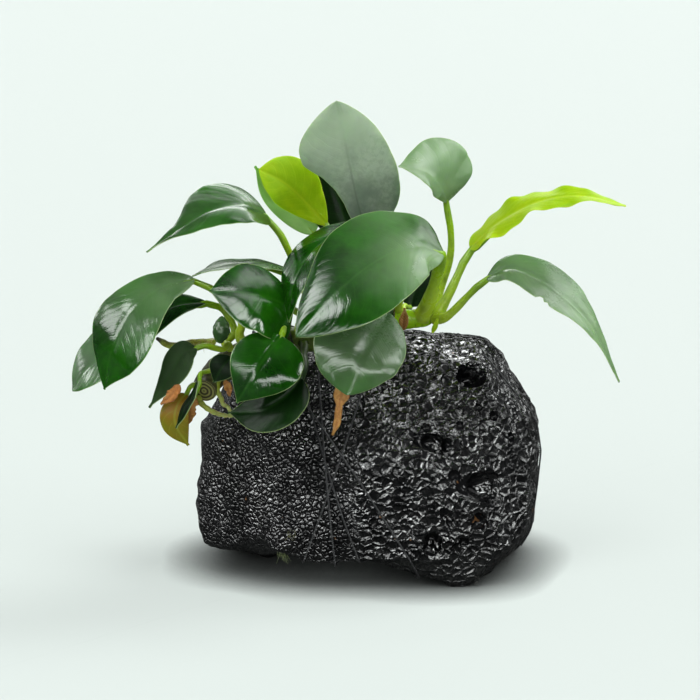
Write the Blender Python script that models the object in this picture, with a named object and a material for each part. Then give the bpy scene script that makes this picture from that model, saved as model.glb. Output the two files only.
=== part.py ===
"""Anubias plant tied to a block of lava stone.

The stone stands on its flat underside. A rhizome lies along the top of the stone, and black
thread wound round both holds it there. Every leaf is a stalk that leaves the rhizome and a
blade that the stalk carries. Lengths in the tables are millimetres; meshes are in metres.
+X runs along the stone to the growing tip of the rhizome, -Y is the front, and the origin is
at the level that the stone rests on, under the middle of the whole.
"""
import math

import bmesh
import bpy
from mathutils import Matrix, Vector, noise
from mathutils.bvhtree import BVHTree
from mathutils.geometry import convex_hull_2d

# ---- driving dimensions, millimetres ----
GAP = 0.3                   # clearance kept between pieces that touch
STONE_GRID = 6.6            # facet size of the stone
STONE_ROUGH = 1.3           # height of the stone's lumps
STONE_LUMP = 16.0           # distance between the lumps
FOOT_DEPTH = 1.2            # how far the rough underside is worn flat
ARCH = (2.5, 27.0, 6.8)     # raised part of the underside: middle in x, half width, height
BLADE_THICK = 0.55          # blade thickness beside the midrib
STALK_SIDES = 6
THREAD_RADIUS = 0.25
THREAD_CLEAR = 0.85         # middle of the lowest thread to the stone
THREAD_LAYER = 0.80         # how far each turn stands off the one below
BUD = [(-37.6, -21, 73.1), (-37.3, -21.4, 75), (-37.1, -21, 77.3), (-36.9, -20.5, 79.3)]
BUD_RADII = [1.4, 2.6, 2.2, 0.9]
BROKEN_STALK = [(-39.5, -14.5, 71), (-46, -16, 71), (-52, -17.5, 70.5), (-56, -19, 73)]

# Planes that bound the stone: a point on the plane and the outward normal.
STONE_PLANES = [
    ((0, -31, 24), (0.0, -1.0, -0.06)),         # front
    ((0, -30, 44), (0.05, -0.80, 0.58)),        # upper front
    ((0, -9, 69), (0.09, -0.38, 0.92)),         # shoulder
    ((20, 0, 72), (0.05, 0.26, 1.0)),           # top
    ((-10, 0, 66), (-0.28, -0.05, 0.96)),       # top, falling to the left
    ((-40, 0, 49), (-0.86, -0.10, 0.45)),       # upper left
    ((-48, 0, 24), (-1.0, -0.08, 0.12)),        # left
    ((-45, 0, 10), (-0.78, -0.12, -0.62)),      # lower left
    ((-24, -28, 10), (-0.52, -0.84, 0.10)),     # front left corner
    ((-10, -31, 9), (-0.08, -0.80, -0.60)),     # lower front
    ((-10, -28, 7), (-0.21, -0.32, -0.92)),     # underside, rising to the front left
    ((46, -12, 4), (0.66, -0.30, -0.68)),       # lower right
    ((57, 0, 36), (1.0, -0.10, -0.04)),         # right
    ((46.6, -4, 58), (0.80, -0.14, 0.58)),      # upper right
    ((36, -27, 40), (0.48, -0.84, 0.22)),       # front right corner
    ((0, 39.4, 30), (0.0, 1.0, -0.05)),         # back
    ((0, 29, 60), (0.0, 0.76, 0.65)),           # upper back
    ((-30, 28, 30), (-0.66, 0.75, 0.0)),        # back left corner
    ((44, 26, 30), (0.66, 0.75, 0.0)),          # back right corner
]
# Hollows worn into the stone: centre, radius, depth.
STONE_HOLLOWS = [
    ((-11, -31, 36), 15, 4.0),
    ((-6, -28, 52), 13, 3.5),
    ((48, -22, 22), 12, 2.0),
    ((-46, 4, 26), 16, 2.5),
    ((10, 37, 40), 18, 3.0),
]
# Gas bubbles open at the surface: centre and radius.
VESICLES = [
    ((36.5, -15.5, 62.5), 3.6),
    ((26.0, -27.5, 43.5), 3.0),
    ((42.0, -27.0, 30.5), 4.4),
    ((24.0, -32.0, 13.5), 3.0),
    ((29.0, -31.0, 21.0), 2.2),
    ((-20.0, 33.5, 40.0), 4.0),
    ((30.0, 35.0, 28.0), 3.4),
]

RHIZOME = [(25, -3, 75.5), (20, -3, 75.7), (15, -3, 75.2), (6, -4, 73.5), (-6, -6, 71.5),
           (-17, -9, 70), (-28, -12, 67.5), (-36, -14, 64), (-43, -15, 57.5)]
RHIZOME_RADII = [2.3, 3.1, 3.5, 3.9, 4.1, 4.2, 4.4, 4.2, 3.4]

YOUNG = (0.36, 0.52, 0.02)
FRESH = (0.09, 0.26, 0.02)
MATURE = (0.02, 0.11, 0.02)
SHADED = (0.01, 0.045, 0.012)
DULL = (0.06, 0.12, 0.06)
OLD = (0.30, 0.26, 0.02)
TAN = (0.50, 0.26, 0.07)
STALK = (0.22, 0.36, 0.04)


class Leaf:
    """One leaf: a stalk leaving the rhizome and the blade at its end.

    root is where the stalk leaves the rhizome: a position in x and an angle round it, 0 up and
    -90 to the front. stalk and midrib are points along each, face is the way the upper side
    looks at the base and at the tip, left and right are the half widths beside the midrib.
    peak is where along the midrib the blade is widest, and point how far the tip is drawn out.
    fold lifts both halves into a V, curl turns the margins down, and wave ripples them.
    """

    def __init__(self, name, root, stalk, midrib, face, left, right, peak=0.42, point=0.5,
                 fold=0.12, curl=0.10, wave=0.0, radius=1.1, colour=MATURE):
        self.name = name
        self.root = root
        self.stalk = stalk
        self.midrib = midrib
        self.face = face
        self.left = left
        self.right = right
        self.peak = peak
        self.point = point
        self.fold = fold
        self.curl = curl
        self.wave = wave
        self.radius = radius
        self.colour = colour


LEAVES = [
    Leaf("crown", (7.8, 10), [(12.5, -1, 84), (9, 3, 93)],
         [(6, 4.5, 97.5), (2.5, 2, 108.5), (0, -1, 120.5), (-2, -4, 131.5), (-4, -6.5, 140.5)],
         [(-0.1, -0.93, 0.2), (-0.1, -0.85, 0.5)], 15.5, 13, peak=0.52, point=0.15, colour=DULL),
    Leaf("back_upper", (5.5, 30), [(4, 6, 82), (2, 13, 92)],
         [(0.5, 15, 96), (-3, 17.5, 107), (-7, 20, 117), (-10, 23, 125)],
         [(-0.3, -0.85, 0.3), (-0.4, -0.7, 0.5)], 10, 10, colour=SHADED),
    Leaf("young_left", (-1.5, 5), [(-1.5, 0, 84), (-5, 6.5, 95)],
         [(-7, 9, 102), (-12.5, 9, 108), (-19, 7, 114.5), (-27, 3, 119.5)],
         [(-0.25, -0.8, 0.5), (-0.2, -0.8, 0.5)], 7, 9, peak=0.5, point=0.3, colour=YOUNG),
    Leaf("back_left", (-5, 35), [(-6, 8, 81), (-9, 17, 93)],
         [(-11, 19, 98), (-18, 20.5, 105), (-24.5, 21, 111), (-29, 20.5, 118.5)],
         [(-0.2, -0.85, 0.4), (-0.2, -0.85, 0.4)], 4.5, 8, colour=FRESH),
    Leaf("left_upper", (-12, 15), [(-13.5, -2, 84), (-19.5, -3, 99)],
         [(-24.5, -4, 107), (-32, -10, 110.5), (-41, -16, 109.5), (-49, -20, 105),
          (-58, -24, 99)],
         [(-0.1, -0.52, 0.85), (-0.35, -0.45, 0.8)], 10.5, 11, peak=0.34, point=1.0),
    Leaf("left_flat", (-5.5, -15), [(-7, -9, 80), (-11.5, -6.5, 87)],
         [(-16, -5, 90), (-26, -9, 93), (-36.5, -14, 93.5), (-45.5, -18, 91)],
         [(0.05, -0.05, 1.0), (-0.15, -0.05, 1.0)], 9, 9, colour=FRESH),
    Leaf("left_glossy", (-14.6, -35), [(-14.5, -15.5, 77), (-14.5, -19, 80)],
         [(-16.5, -21, 82.5), (-23, -25.5, 86), (-31, -30, 88.5), (-39.5, -33, 89.5)],
         [(0.1, -0.75, 0.65), (-0.35, -0.8, 0.45)], 10, 9.5),
    Leaf("left_long", (-30.2, 10), [(-32, -12, 77), (-38, -14.5, 85)],
         [(-45, -17, 90), (-54.5, -23, 88.5), (-63, -28, 81.5), (-68, -29.5, 71),
          (-70.5, -27, 59.5)],
         [(-0.2, -0.75, 0.62), (-0.55, -0.75, 0.35)], 8.5, 10.5, peak=0.5),
    Leaf("left_under", (-33.8, 30), [(-34, -9, 73), (-37, -8, 79)],
         [(-42, -9, 82), (-52, -12, 81), (-64, -16, 74), (-75, -18, 65), (-81, -18, 57)],
         [(-0.2, -0.6, 0.77), (-0.5, -0.6, 0.6)], 8, 9, peak=0.55, point=0.2, colour=SHADED),
    Leaf("front_low", (-21, -55), [(-20.5, -19.5, 74.5), (-19, -26.5, 77.5)],
         [(-19.5, -30.5, 76), (-23.5, -35, 71.5), (-27.5, -37.5, 65.5), (-32, -37, 58)],
         [(0.0, -0.8, 0.6), (-0.1, -0.98, 0.1)], 9.5, 9),
    Leaf("on_stone", (-14.6, -95), [(-13.5, -19, 68), (-13, -26, 66)],
         [(-14, -29.5, 63.5), (-18, -32.5, 59), (-25, -33, 55), (-35, -28, 53)],
         [(0.1, -0.85, 0.5), (-0.3, -0.8, 0.5)], 7.5, 7, colour=SHADED),
    Leaf("front_big", (21.5, -20), [(23.5, -7, 82.5), (25.5, -13, 91.5)],
         [(27, -20, 98), (19, -25, 101), (8, -31, 98), (-4, -37, 89.5), (-15, -41, 78)],
         [(-0.1, -0.76, 0.65), (-0.3, -0.84, 0.45)], 16.5, 17.5, peak=0.46, point=0.15,
         curl=0.18, radius=1.7),
    Leaf("front_back", (14.8, -10), [(15, -6, 84), (14, -7, 91)],
         [(11.5, -8, 95), (1, -9.5, 101.5), (-9, -15, 99.5), (-15.5, -22, 91), (-17.5, -27, 79)],
         [(-0.35, -0.45, 0.8), (-0.8, -0.5, 0.3)], 9, 8, colour=MATURE),
    Leaf("front_hang", (12, -75), [(12, -14, 79), (12, -18.5, 82)],
         [(11, -21.5, 81), (6.5, -29, 76), (2, -34, 69), (-1, -35.5, 60)],
         [(0.1, -0.85, 0.5), (0.0, -1.0, 0.05)], 12, 15, peak=0.45, point=0.2, curl=0.16),
    Leaf("back_right", (16.3, 55), [(16.5, 2.5, 78.6), (17.2, 4.8, 77.6)],
         [(18.3, 7, 77.5), (20, 11, 82.5), (22, 15.5, 87), (24.5, 20, 91.5)],
         [(0.1, -0.8, 0.5), (0.1, -0.8, 0.5)], 6.5, 6, radius=0.8, colour=SHADED),
    Leaf("right_top", (24, 50), [(26.2, 1.3, 81.5), (30, 1.5, 95)],
         [(29, 1.5, 110), (27.5, -0.5, 114), (24.5, -3, 118), (20, -5.5, 120.5), (14, -7.5, 121.5)],
         [(0.15, -0.75, 0.62), (-0.2, -0.62, 0.75)], 6.5, 14.5, peak=0.4, colour=MATURE),
    Leaf("young_right", (25, 0), [(28.3, -3, 81), (31.7, -2.2, 88)],
         [(35.5, -0.5, 96.5), (43, -3, 104), (55, -6, 111), (67.5, -8, 113), (80.5, -8, 110)],
         [(-0.2, -0.35, 0.9), (0.0, -0.4, 0.9)], 6.5, 6, wave=0.25, radius=1.3, colour=YOUNG),
    Leaf("right_long", (24.8, -70), [(29, -7, 77.5), (35, -8.7, 84)],
         [(40, -10, 89.5), (48, -14, 92.5), (59.5, -18, 86.5), (70, -19.5, 76), (78.5, -18, 59.5)],
         [(0.1, -0.55, 0.83), (0.55, -0.45, 0.7)], 8.5, 7.5, peak=0.38, radius=1.1),
    Leaf("small_droop", (-34, -20), [(-37, -18, 69.5), (-41.5, -20.5, 71)],
         [(-44.5, -22, 71), (-48, -25, 70), (-51.5, -27, 64), (-58, -26, 54)],
         [(-0.2, -0.85, 0.5), (-0.5, -0.85, 0.1)], 4, 3.6, radius=0.9, colour=DULL),
    Leaf("small_twist", (-38, -75), [(-41.5, -23, 64), (-43, -26, 64)],
         [(-43.5, -28, 62.5), (-45, -30, 58.5), (-47.5, -31, 54.5), (-50, -30, 49)],
         [(-0.9, -0.4, 0.1), (-0.7, -0.6, 0.1)], 2.5, 2.5, radius=0.7, colour=SHADED),
    Leaf("old_yellow", (-41.5, -45), [(-44, -20, 60), (-46, -22, 59.5)],
         [(-47.5, -23, 57.5), (-50, -24.5, 54), (-50.5, -25, 49), (-47, -23, 42)],
         [(-0.5, -0.8, 0.1), (0.1, -0.95, 0.0)], 4.5, 4.5, radius=0.8, colour=OLD),
    Leaf("small_round", (-31, -60), [(-31.5, -20.5, 69.5), (-32.5, -24, 70)],
         [(-34, -26.5, 69), (-36.5, -28.5, 66.5), (-39, -28.5, 62)],
         [(-0.1, -0.9, 0.4), (-0.2, -0.95, 0.1)], 4, 4, radius=0.8, colour=SHADED),
]

# Dry remains of old leaves: blades with no stalk left.
REMAINS = [
    Leaf("dried_sheath", None, None,
         [(-1.5, -30, 61.5), (-3, -32.5, 57), (-3.5, -33, 52), (-5, -32.5, 47.5)],
         [(0.1, -0.95, 0.2), (-0.3, -0.9, 0.0)], 2.0, 2.2, wave=0.3, colour=TAN),
    Leaf("tip_sheath", None, None,
         [(15.6, -9.2, 73.5), (16, -9.5, 77), (16, -8.5, 80)],
         [(-0.6, -0.8, 0.1), (-0.6, -0.8, 0.1)], 1.6, 1.6, colour=TAN),
    Leaf("old_sheath", None, None,
         [(24.4, -9.5, 72.6), (25.1, -10, 74.8), (25.7, -10, 77)],
         [(0.4, -0.9, 0.1), (0.4, -0.9, 0.1)], 1.0, 1.0, colour=TAN),
    Leaf("dried_scrap", None, None,
         [(-48.5, -31, 62), (-51, -32.5, 59), (-54, -32, 56.5)],
         [(-0.2, -0.9, 0.3), (-0.4, -0.8, 0.3)], 1.8, 1.6, wave=0.3, colour=TAN),
]

# Roots: points that are laid on the stone, start at the rhizome; radius; colour.
ROOTS = [
    ("root_down", [(-37.5, -19, 60), (-38.5, -22, 55), (-38.5, -24, 50)], 0.7),
    ("root_slant", [(-44, -22, 55.5), (-43.5, -24, 53), (-42.5, -25.5, 49)], 0.6),
    ("root_front", [(-22, -20, 62), (-24, -25, 55), (-26, -29, 49)], 0.6),
]

# The strand that runs over the right shoulder: a point on its plane, the plane's normal, and
# how far left and how low it is to be seen.
SIDE_STRAND = ((30, -5, 40), (0.05, 1.0, 0.05), 31.0, 3.0)

# Turns of thread: a point on the turn's plane, the plane's normal, and the layer it lies in.
THREAD_TURNS = [
    ("thread_1", (4, -31, 31), (1.0, 0.30, 0.62), 3),
    ("thread_2", (-6, 0, 40), (1.0, -0.05, 0.10), 2),
    ("thread_3", (-4, 0, 36), (1.0, 0.0, -0.35), 1),
    ("thread_4", (-5, 0, 40), (1.0, -0.1, 0.34), 0),
]


def metres(points):
    """Vectors in metres from points in millimetres."""
    return [Vector(point) * 0.001 for point in points]


def smooth_path(points, count):
    """Evenly spaced vectors on a smooth curve through the given points."""
    knots = [Vector(point) for point in points]
    knots = [knots[0] * 2 - knots[1]] + knots + [knots[-1] * 2 - knots[-2]]
    dense = []
    for a, b, c, d in zip(knots, knots[1:], knots[2:], knots[3:]):
        for step in range(24):
            t = step / 24
            dense.append(0.5 * ((2 * b) + (c - a) * t + (2 * a - 5 * b + 4 * c - d) * t ** 2
                                + (3 * b - a - 3 * c + d) * t ** 3))
    dense.append(knots[-2])
    walked = [0.0]
    for before, after in zip(dense, dense[1:]):
        walked.append(walked[-1] + (after - before).length)
    path = []
    at = 0
    for index in range(count):
        goal = walked[-1] * index / (count - 1)
        while at < len(walked) - 2 and walked[at + 1] < goal:
            at += 1
        share = (goal - walked[at]) / (walked[at + 1] - walked[at])
        path.append(dense[at].lerp(dense[at + 1], share))
    return path


def tangents(path):
    """Direction of travel at every point of a path."""
    ends = [path[0] * 2 - path[1]] + path + [path[-1] * 2 - path[-2]]
    return [(after - before).normalized() for before, after in zip(ends, ends[2:])]


def make_object(name, bm, colour, roughness):
    """Object from a mesh in millimetres, with a material of its own."""
    bmesh.ops.scale(bm, vec=(0.001, 0.001, 0.001), verts=bm.verts)
    bmesh.ops.recalc_face_normals(bm, faces=bm.faces)
    mesh = bpy.data.meshes.new(name)
    bm.to_mesh(mesh)
    bm.free()
    material = bpy.data.materials.new(name)
    material.use_nodes = True
    shader = material.node_tree.nodes["Principled BSDF"]
    shader.inputs["Base Color"].default_value = (*colour, 1.0)
    shader.inputs["Roughness"].default_value = roughness
    mesh.materials.append(material)
    obj = bpy.data.objects.new(name, mesh)
    bpy.context.scene.collection.objects.link(obj)
    return obj


def skin_rings(rings, closed=False):
    """Closed mesh over rings of equally many points, capped at both ends or joined round."""
    bm = bmesh.new()
    loops = [[bm.verts.new(point) for point in ring] for ring in rings]
    pairs = list(zip(loops, loops[1:]))
    if closed:
        pairs.append((loops[-1], loops[0]))
    else:
        bm.faces.new(loops[0])
        bm.faces.new(loops[-1])
    for first, second in pairs:
        for index in range(len(first)):
            after = (index + 1) % len(first)
            bm.faces.new((first[index], first[after], second[after], second[index]))
    bmesh.ops.triangulate(bm, faces=bm.faces)
    return bm


def tube(path, radii, sides):
    """Capped tube of round section along a path."""
    rings = []
    across = tangents(path)[0].orthogonal()
    for centre, along, radius in zip(path, tangents(path), radii):
        across = (across - along * across.dot(along)).normalized()
        third = along.cross(across)
        angles = [math.tau * index / sides for index in range(sides)]
        rings.append([centre + (across * math.cos(angle) + third * math.sin(angle)) * radius
                      for angle in angles])
    return skin_rings(rings)


def rhizome_at(x):
    """Centre and radius of the rhizome where it passes x."""
    count = 60
    path = smooth_path(RHIZOME, count)
    index = min(range(count), key=lambda i: abs(path[i].x - x))
    place = index / (count - 1) * (len(RHIZOME_RADII) - 1)
    low = min(int(place), len(RHIZOME_RADII) - 2)
    radius = RHIZOME_RADII[low] + (RHIZOME_RADII[low + 1] - RHIZOME_RADII[low]) * (place - low)
    return path[index], radius, tangents(path)[index]


def blade_outline(t, peak, point):
    """Half width of an ovate blade at t along its midrib, 1 at the widest place."""
    warped = t ** (math.log(0.5) / math.log(peak))
    return math.sin(math.pi * min(warped, 1.0)) ** (0.62 + point * t)


def blade_ring(leaf, t, centre, along):
    """Eight points round a blade's section: left edge, over the top, right edge, underneath."""
    face = Vector(leaf.face[0]).lerp(Vector(leaf.face[1]), t)
    side = along.cross(face).normalized()
    up = side.cross(along)
    outline = blade_outline(t, leaf.peak, leaf.point)
    thick = BLADE_THICK * (1.5 - 0.9 * t) / 2

    def place(across, lift):
        half = max((leaf.left if across < 0 else leaf.right) * outline, 0.7)
        ripple = leaf.wave * math.sin(t * 17.0 + (2.0 if across < 0 else 0.0))
        height = half * (leaf.fold * abs(across) + (ripple - leaf.curl) * across ** 2)
        return centre + side * (half * across) + up * (height + lift)

    top = [place(across, thick) for across in (-0.55, 0.0, 0.55)]
    under = [place(across, -thick) for across in (0.55, 0.0, -0.55)]
    return [place(-1.0, 0.0)] + top + [place(1.0, 0.0)] + under


def make_blade(leaf, name):
    """Thin closed blade, from the end of its stalk to its tip."""
    count = 11 if max(leaf.left, leaf.right) > 6 else 7
    path = smooth_path(leaf.midrib, count)
    directions = tangents(path)
    places = [index / (count - 1) for index in range(count)]
    rings = [blade_ring(leaf, t, centre, along)
             for t, centre, along in zip(places[:-1], path, directions)]
    bm = skin_rings(rings)
    bm.faces.ensure_lookup_table()
    last = [vert for vert in bm.verts][-8:]
    cap = [face for face in bm.faces if all(vert in last for vert in face.verts)]
    bmesh.ops.delete(bm, geom=cap, context="FACES_ONLY")
    point = bm.verts.new(path[-1])
    for index in range(8):
        bm.faces.new((last[index], last[(index + 1) % 8], point))
    return make_object(name, bm, leaf.colour, 0.35)


def make_stalk(leaf):
    """Round stalk from just off the rhizome to just short of its blade."""
    centre, girth, along = rhizome_at(leaf.root[0])
    angle = math.radians(leaf.root[1])
    outward = Vector((0.0, math.sin(angle), math.cos(angle)))
    outward = (outward - along * outward.dot(along)).normalized()
    start = centre + outward * (girth + GAP + 0.25 * leaf.radius)
    points = [start, start + outward * 1.5] + [Vector(point) for point in leaf.stalk]
    points.append(Vector(leaf.midrib[0]))
    path = smooth_path(points, 9)
    path[-1] = path[-1] - (path[-1] - path[-2]).normalized() * (GAP + 0.5)
    radii = [leaf.radius * (1.25 - 0.35 * index / 8) for index in range(9)]
    return make_object("stalk_" + leaf.name, tube(path, radii, STALK_SIDES), STALK, 0.4)


def distance_to_rhizome(point, path):
    """Distance from a point to the rhizome's centre line, and the radius there."""
    index = min(range(len(path)), key=lambda i: (path[i] - point).length_squared)
    return (path[index] - point).length, path[index]


def cut_block():
    """Box bounded by the stone's planes."""
    bm = bmesh.new()
    bmesh.ops.create_cube(bm, size=1.0, matrix=Matrix.Translation((4, 2, 36)))
    bmesh.ops.scale(bm, vec=(118, 76, 80), verts=bm.verts, space=Matrix.Translation((-4, -2, -36)))
    planes = STONE_PLANES + [((0, 0, -FOOT_DEPTH), (0.0, 0.0, -1.0))]
    for point, normal in planes:
        geometry = bm.verts[:] + bm.edges[:] + bm.faces[:]
        cut = bmesh.ops.bisect_plane(bm, geom=geometry, plane_co=point, plane_no=normal,
                                     clear_outer=True)
        rim = [edge for edge in cut["geom_cut"] if isinstance(edge, bmesh.types.BMEdge)]
        if rim:
            bmesh.ops.edgeloop_fill(bm, edges=rim)
    return bm


def evaluated_mesh(obj):
    """Mesh of an object with its modifiers applied."""
    graph = bpy.context.evaluated_depsgraph_get()
    return bpy.data.meshes.new_from_object(obj.evaluated_get(graph))


def roughen(mesh):
    """Lumps, worn hollows, the arch under the stone and a bed for the rhizome."""
    bm = bmesh.new()
    bm.from_mesh(mesh)
    rhizome = smooth_path(RHIZOME, 60)
    middle, reach, height = ARCH
    bm.normal_update()
    normals = {vert: vert.normal.copy() for vert in bm.verts}
    for vert in bm.verts:
        place = vert.co.copy()
        lump = noise.noise(place / STONE_LUMP) + 0.5 * noise.noise(place / (STONE_LUMP * 0.45))
        push = STONE_ROUGH * lump
        for centre, radius, depth in STONE_HOLLOWS:
            away = (place - Vector(centre)).length / radius
            push -= depth * math.exp(-away ** 2 * 1.6)
        vert.co = place + normals[vert] * push
        offset = (place.x - middle) / reach
        if abs(offset) < 1.0 and place.z < 8.0:
            vert.co.z += height * math.cos(offset * math.pi / 2) ** 0.7
        away, nearest = distance_to_rhizome(vert.co, rhizome)
        clear = rhizome_at(nearest.x)[1] + GAP + 1.5
        if away < clear:
            vert.co.z -= math.sqrt(clear ** 2 - away ** 2 + 0.01)
    bmesh.ops.triangulate(bm, faces=bm.faces)
    return bm


def make_stone():
    """Lava stone: a block with flat sides, roughened, with open bubbles and a flat foot."""
    block = make_object("block", cut_block(), (0.0, 0.0, 0.0), 0.5)
    remesh = block.modifiers.new("grid", "REMESH")
    remesh.mode = "VOXEL"
    remesh.voxel_size = STONE_GRID * 0.001
    mesh = evaluated_mesh(block)
    mesh.transform(Matrix.Scale(1000.0, 4))
    bm = roughen(mesh)
    bpy.data.objects.remove(block)
    geometry = bm.verts[:] + bm.edges[:] + bm.faces[:]
    cut = bmesh.ops.bisect_plane(bm, geom=geometry, dist=0.001, plane_co=(0, 0, 0),
                                 plane_no=(0, 0, -1), clear_outer=True)
    rim = [edge for edge in cut["geom_cut"] if isinstance(edge, bmesh.types.BMEdge)]
    bmesh.ops.edgeloop_fill(bm, edges=rim)
    bmesh.ops.triangulate(bm, faces=[face for face in bm.faces if len(face.verts) > 4])
    stone = make_object("stone", bm, (0.012, 0.013, 0.014), 0.35)
    for index, (centre, radius) in enumerate(VESICLES):
        ball = bmesh.new()
        bmesh.ops.create_icosphere(ball, subdivisions=2, radius=radius,
                                   matrix=Matrix.Translation(centre))
        cutter = make_object("bubble_cutter", ball, (0.0, 0.0, 0.0), 0.5)
        cutter.hide_render = True
        cutter.display_type = "WIRE"
        boolean = stone.modifiers.new(f"bubble_{index + 1}", "BOOLEAN")
        boolean.operation = "DIFFERENCE"
        boolean.object = cutter
    return stone


def make_rhizome():
    """Creeping stem, thick along the stone and narrow at its growing tip."""
    count = 17
    path = smooth_path(RHIZOME, count)
    radii = []
    for index in range(count):
        place = index / (count - 1) * (len(RHIZOME_RADII) - 1)
        low = min(int(place), len(RHIZOME_RADII) - 2)
        radii.append(RHIZOME_RADII[low]
                     + (RHIZOME_RADII[low + 1] - RHIZOME_RADII[low]) * (place - low))
    return make_object("rhizome", tube(path, radii, 8), STALK, 0.45)


def make_root(name, points, radius, surface):
    """Root laid on the stone from the rhizome, by moving each point onto the surface."""
    path = []
    for point in smooth_path(points, 8):
        nearest, normal, _, _ = surface.find_nearest(point * 0.001)
        path.append(nearest * 1000.0 + normal * (radius + GAP + 0.35))
    radii = [radius * (1.0 - 0.45 * index / 7) for index in range(8)]
    return make_object(name, tube(path, radii, 6), STALK, 0.5)


def section_points(objects, point, normal):
    """Points in millimetres where a plane cuts the objects."""
    points = []
    for obj in objects:
        bm = bmesh.new()
        bm.from_mesh(evaluated_mesh(obj))
        geometry = bm.verts[:] + bm.edges[:] + bm.faces[:]
        cut = bmesh.ops.bisect_plane(bm, geom=geometry, plane_co=point * 0.001, plane_no=normal)
        points += [item.co * 1000.0 for item in cut["geom_cut"]
                   if isinstance(item, bmesh.types.BMVert)]
        bm.free()
    return points


def taut_loop(objects, point, normal, clearance):
    """Corners of a loop drawn tight round what a plane cuts, standing clear by the clearance."""
    point = Vector(point)
    normal = Vector(normal).normalized()
    first = normal.orthogonal().normalized()
    second = normal.cross(first)
    flat = []
    for found in section_points(objects, point, normal):
        away = found - point
        for step in range(8):
            angle = math.tau * step / 8
            flat.append(Vector((away.dot(first) + clearance * math.cos(angle),
                                away.dot(second) + clearance * math.sin(angle))))
    hull = [flat[index] for index in convex_hull_2d(flat)]
    kept = [hull[0]]
    for corner in hull[1:]:
        if (corner - kept[-1]).length > 1.3 and (corner - hull[0]).length > 1.3:
            kept.append(corner)
    return [point + first * corner.x + second * corner.y for corner in kept]


def make_thread(name, route, normal, closed):
    """Thread of square section along a flat route."""
    across = Vector(normal).normalized()
    rings = []
    for index, centre in enumerate(route):
        before = route[index - 1] if closed or index > 0 else centre
        after = route[(index + 1) % len(route)] if closed or index < len(route) - 1 else centre
        outward = across.cross((after - before).normalized())
        rings.append([centre + outward * THREAD_RADIUS, centre + across * THREAD_RADIUS,
                      centre - outward * THREAD_RADIUS, centre - across * THREAD_RADIUS])
    return make_object(name, skin_rings(rings, closed), (0.006, 0.006, 0.007), 0.5)


def make_side_strand(stone):
    """Strand that leaves the rhizome's tip and goes over the right shoulder of the stone."""
    point, normal, left, low = SIDE_STRAND
    loop = taut_loop([stone], point, normal, THREAD_CLEAR)
    seen = [corner.x > left and corner.z > low for corner in loop]
    start = next(index for index in range(len(loop)) if seen[index] and not seen[index - 1])
    route = [loop[(start + step) % len(loop)] for step in range(sum(seen))]
    return make_thread("thread_side", route, normal, False)


def build():
    """The whole plant on its stone."""
    for obj in list(bpy.data.objects):
        bpy.data.objects.remove(obj)
    stone = make_stone()
    rhizome = make_rhizome()
    bpy.context.view_layer.update()
    graph = bpy.context.evaluated_depsgraph_get()
    surface = BVHTree.FromObject(stone, graph)
    for leaf in LEAVES:
        make_blade(leaf, "blade_" + leaf.name)
        make_stalk(leaf)
    for remains in REMAINS:
        make_blade(remains, remains.name)
    broken = tube(smooth_path(BROKEN_STALK, 6), [1.3, 1.3, 1.2, 1.2, 1.3, 1.0], STALK_SIDES)
    make_object("broken_stalk", broken, OLD, 0.5)
    make_object("bud", tube(smooth_path(BUD, 4), BUD_RADII, STALK_SIDES), SHADED, 0.4)
    for name, points, radius in ROOTS:
        make_root(name, points, radius, surface)
    for name, point, normal, layer in THREAD_TURNS:
        clearance = THREAD_CLEAR + layer * THREAD_LAYER
        loop = taut_loop([stone, rhizome], point, normal, clearance)
        make_thread(name, loop, normal, True)
    make_side_strand(stone)


build()
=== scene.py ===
"""Anubias tied to a block of black lava stone: the finish of every surface."""
import math
from contextlib import contextmanager
from dataclasses import dataclass

import bmesh
import bpy
import numpy as np
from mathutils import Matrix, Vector, noise
from mathutils.bvhtree import BVHTree
from mathutils.geometry import convex_hull_2d


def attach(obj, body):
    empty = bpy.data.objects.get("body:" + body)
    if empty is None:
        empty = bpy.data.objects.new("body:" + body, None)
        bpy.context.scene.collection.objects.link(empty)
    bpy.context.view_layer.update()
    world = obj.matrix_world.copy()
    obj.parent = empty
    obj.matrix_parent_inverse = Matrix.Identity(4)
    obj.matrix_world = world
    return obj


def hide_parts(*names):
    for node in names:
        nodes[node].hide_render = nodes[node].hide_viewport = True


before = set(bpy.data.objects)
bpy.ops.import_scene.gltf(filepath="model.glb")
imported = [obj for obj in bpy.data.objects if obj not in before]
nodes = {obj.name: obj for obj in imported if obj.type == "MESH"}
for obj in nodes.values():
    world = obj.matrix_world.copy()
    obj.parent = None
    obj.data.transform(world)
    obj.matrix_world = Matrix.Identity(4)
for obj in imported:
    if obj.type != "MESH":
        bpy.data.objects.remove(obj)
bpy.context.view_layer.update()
scene = bpy.context.scene
scene.view_settings.view_transform = "Standard"

# ---------------------------------------------------------------------------------------------
# Studio. A pale floor without an edge, in a dim room with soft boxes. One set of boxes lights
# the surfaces; glossy surfaces mirror the other, so that each glint lies where it should.
# ---------------------------------------------------------------------------------------------
CAMERA_TILT = math.radians(12)      # how far the camera looks down
CAMERA_DISTANCE = 0.5833
CAMERA_AIM = Vector((0.0, 0.0, 0.0655))
FLOOR_REACH = 30.0
EVEN_LIGHT = 0.10
EVEN_MIRRORED = 0.012
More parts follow.
